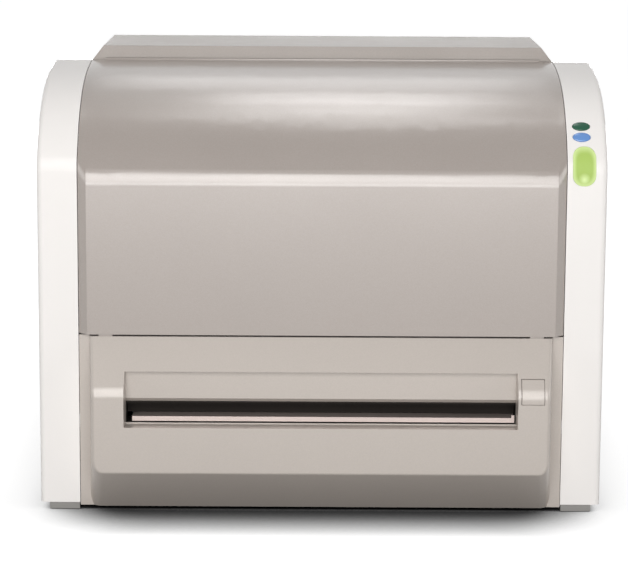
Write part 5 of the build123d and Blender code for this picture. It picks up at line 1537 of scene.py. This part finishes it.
@dataclass
class Chassis:
    """Grooved feet and the rails beside them."""

    groove: float = 0.8
    hollow: float = 0.4

    def build(self, shop: Workshop) -> None:
        """Make the feet with their groove and finish the rails.

        Args:
            shop: the workshop that places the pieces.
        """
        feet = Form()
        for low, high in shop.islands("rubber_feet"):
            middle = (low + high) / 2
            radius = (high.x - low.x) / 2
            tall = high.z - low.z
            rings = [Ring(self.hollow, radius * 0.45), Ring(0, radius * 0.5),
                     Ring(0, radius * 0.88)]
            for share, cut in ((0.22, 0), (0.5, 0), (0.56, self.groove), (0.68, self.groove),
                               (0.74, 0), (1, 0)):
                rings.append(Ring(tall * share, radius - cut))
            feet.turned((middle.x, middle.y, 0), UP, rings, 40)
        shop.add("grooved_feet", feet.metres(), BLACK_RUBBER, "housing", ("rubber_feet",))
        shop.softened("base_rails", GREY_RAIL, 0.6 * MM)


@dataclass
class PhotoCamera:
    """Camera at the photograph's viewing angle."""

    focal_pixels: float = 2500.0
    place: Point = (-0.0077, -2.848, 0.696)
    pitch: float = 10.3
    roll: float = 0.32
    film: float = 36.0
    far_end: float = 60.0

    def build(self) -> None:
        """Make the camera and set it as the scene's."""
        data = bpy.data.cameras.new("photo camera")
        data.sensor_width = self.film
        data.lens = self.focal_pixels * data.sensor_width / PHOTO_WIDTH
        data.clip_end = self.far_end
        camera = linked("photo camera", data)
        turn = Matrix.Rotation(math.radians(90 - self.pitch), 4, "X")
        spin = Matrix.Rotation(math.radians(self.roll), 4, "Z")
        camera.matrix_world = Matrix.Translation(self.place) @ turn @ spin
        bpy.context.scene.camera = camera


@dataclass(frozen=True)
class Lamp:
    """One soft area lamp."""

    name: str
    place: Point
    target: Point
    width: float
    height: float
    power: float

    def build(self) -> None:
        """Hang the lamp and aim it."""
        data = bpy.data.lights.new(self.name, "AREA")
        data.shape = "RECTANGLE"
        data.size = self.width
        data.size_y = self.height
        data.energy = self.power
        lamp = linked(self.name, data)
        lamp.location = self.place
        lamp.visible_camera = False
        aim = Vector(self.target) - Vector(self.place)
        lamp.rotation_euler = aim.to_track_quat("-Z", "Y").to_euler()


AIM: Point = (0, -0.2, 0.25)
STUDIO_LAMPS = (
    Lamp("low front softbox", (0.1, -3.3, 0.3), AIM, 2.2, 0.5, 24.0),
    Lamp("middle front softbox", (-0.2, -3.3, 1.0), AIM, 2.2, 0.6, 20.0),
    Lamp("high front softbox", (-0.4, -3.0, 1.75), AIM, 2.2, 1.0, 36.0),
    Lamp("overhead front", (0.06, -0.28, 2.4), AIM, 0.5, 0.62, 3.0),
    Lamp("overhead middle", (0.06, 0.22, 2.4), AIM, 0.5, 0.62, 3.2),
    Lamp("overhead rear", (0.06, 0.65, 2.3), AIM, 0.5, 0.55, 2.9),
    Lamp("back softbox", (0, 1.5, 2.1), AIM, 0.8, 0.8, 3.0),
    Lamp("rear softbox", (0, 3.3, 0.35), (0, 0.2, 0.25), 2.2, 0.5, 45.0),
    Lamp("left side softbox", (-2.3, -0.9, 0.6), (0, 0, 0.2), 1.6, 1.0, 9.0),
    Lamp("right side softbox", (2.3, -0.9, 0.6), (0, 0, 0.2), 1.6, 1.0, 11.0),
)


@dataclass
class Studio:
    """Pale floor, soft lamps and a white surround."""

    floor_half: float = 14.0
    floor_near: float = 0.4
    floor_far: float = 0.85
    floor_base: float = 0.3
    floor_glow: float = 0.9
    ambient: float = 0.03
    shade_reach: float = 0.077
    shade_half: float = 0.2
    shade_fade: float = 0.12
    shade_below: float = 2.3
    shade_beside: float = 0.3

    def build(self) -> None:
        """Make floor, world and lamps, and set the plain view transform."""
        bpy.context.scene.view_settings.view_transform = "Standard"
        for lamp in STUDIO_LAMPS:
            lamp.build()
        self._world()
        self._floor()

    @staticmethod
    def seen(tree: Tree) -> Socket:
        """Tell rays that show the surround from those that light the object.

        Args:
            tree: where the nodes go.

        Returns:
            1 on camera, glossy and transmission rays, and 0 on all others.
        """
        path = tree.nodes.new("ShaderNodeLightPath")
        total = ShaderLibrary.math(tree, "ADD", path.outputs["Is Camera Ray"],
                                   path.outputs["Is Glossy Ray"])
        total = ShaderLibrary.math(tree, "ADD", total, path.outputs["Is Transmission Ray"])
        return ShaderLibrary.math(tree, "MINIMUM", total, 1.0)

    @staticmethod
    def _range(tree: Tree, value: Socket, low: float, high: float, first: float,
               last: float) -> Socket:
        """Pass smoothly from one value to another while an input rises.

        Args:
            tree: where the node goes.
            value: the input.
            low: input up to which the first value holds.
            high: input from which the last value holds.
            first: the first value.
            last: the last value.

        Returns:
            The passing value.
        """
        node = tree.nodes.new("ShaderNodeMapRange")
        node.interpolation_type = "SMOOTHSTEP"
        tree.links.new(value, node.inputs["Value"])
        for label, number in (("From Min", low), ("From Max", high), ("To Min", first),
                              ("To Max", last)):
            node.inputs[label].default_value = number
        return node.outputs["Result"]

    def _world(self) -> None:
        """Even ambient light, and white where it is seen."""
        world = bpy.data.worlds.new("studio")
        bpy.context.scene.world = world
        world.use_nodes = True
        tree = world.node_tree
        tree.nodes.clear()
        mix = tree.nodes.new("ShaderNodeMixShader")
        tree.links.new(self.seen(tree), mix.inputs[0])
        for socket, strength in zip(list(mix.inputs)[1:], (self.ambient, 1.0)):
            light = tree.nodes.new("ShaderNodeBackground")
            light.inputs["Color"].default_value = (1, 1, 1, 1)
            light.inputs["Strength"].default_value = strength
            tree.links.new(light.outputs[0], socket)
        out = tree.nodes.new("ShaderNodeOutputWorld")
        tree.links.new(mix.outputs[0], out.inputs["Surface"])

    def _floor(self) -> None:
        """Floor that shows white, with a contact shadow painted into it by ambient occlusion,
        strongest below the object's middle.
        """
        half = self.floor_half
        corners = ((-half, -half, 0), (half, -half, 0), (half, half, 0), (-half, half, 0))
        mesh = bpy.data.meshes.new("studio_floor")
        mesh.from_pydata(corners, [], [(0, 1, 2, 3)])
        floor = linked("studio_floor", mesh)
        material = bpy.data.materials.new("pale floor")
        material.use_nodes = True
        tree = material.node_tree
        shader = tree.nodes["Principled BSDF"]
        shader.inputs["Roughness"].default_value = 0.9
        shader.inputs["Specular IOR Level"].default_value = 0.0
        shader.inputs["Emission Color"].default_value = (1, 1, 1, 1)
        spot = ShaderLibrary.place(tree)
        beside = ShaderLibrary.math(tree, "ABSOLUTE", ShaderLibrary.split(tree, spot)["X"])
        strength = self._range(tree, beside, self.shade_half, self.shade_half + self.shade_fade,
                               self.shade_below, self.shade_beside)
        # Ambient occlusion paints a contact shadow into the floor's tone and glow, harder within
        # shade_half of the middle.
        corner = tree.nodes.new("ShaderNodeAmbientOcclusion")
        corner.samples = 12
        corner.inputs["Distance"].default_value = self.shade_reach
        painted_contact_shadow = ShaderLibrary.math(tree, "POWER", corner.outputs["AO"], strength)
        tone = ShaderLibrary.math(tree, "MULTIPLY", painted_contact_shadow, self.floor_base)
        tree.links.new(tone, shader.inputs["Base Color"])
        radius = tree.nodes.new("ShaderNodeVectorMath")
        radius.operation = "LENGTH"
        tree.links.new(spot, radius.inputs[0])
        glow = self._range(tree, radius.outputs["Value"], self.floor_near, self.floor_far,
                           self.floor_glow, 1.0)
        glow = ShaderLibrary.math(tree, "MULTIPLY", glow, painted_contact_shadow)
        glow = ShaderLibrary.math(tree, "MULTIPLY", glow, self.seen(tree))
        tree.links.new(glow, shader.inputs["Emission Strength"])
        mesh.materials.append(material)
        floor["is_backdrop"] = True


def main() -> None:
    """Build the camera, the studio and every sub-assembly in order."""
    logging.basicConfig(level=logging.INFO, format="%(name)s: %(message)s")
    shop = Workshop()
    PhotoCamera().build()
    Studio().build()
    for assembly in (OuterCovers(), CassetteSlot(), KeyPanel(), RearFittings(), Electronics(),
                     PickupDrive(), PlateTransport(), ScanOptics(), Chassis()):
        assembly.build(shop)
    LOG.info("all pieces are in place")


if __name__ == "__main__":
    main()
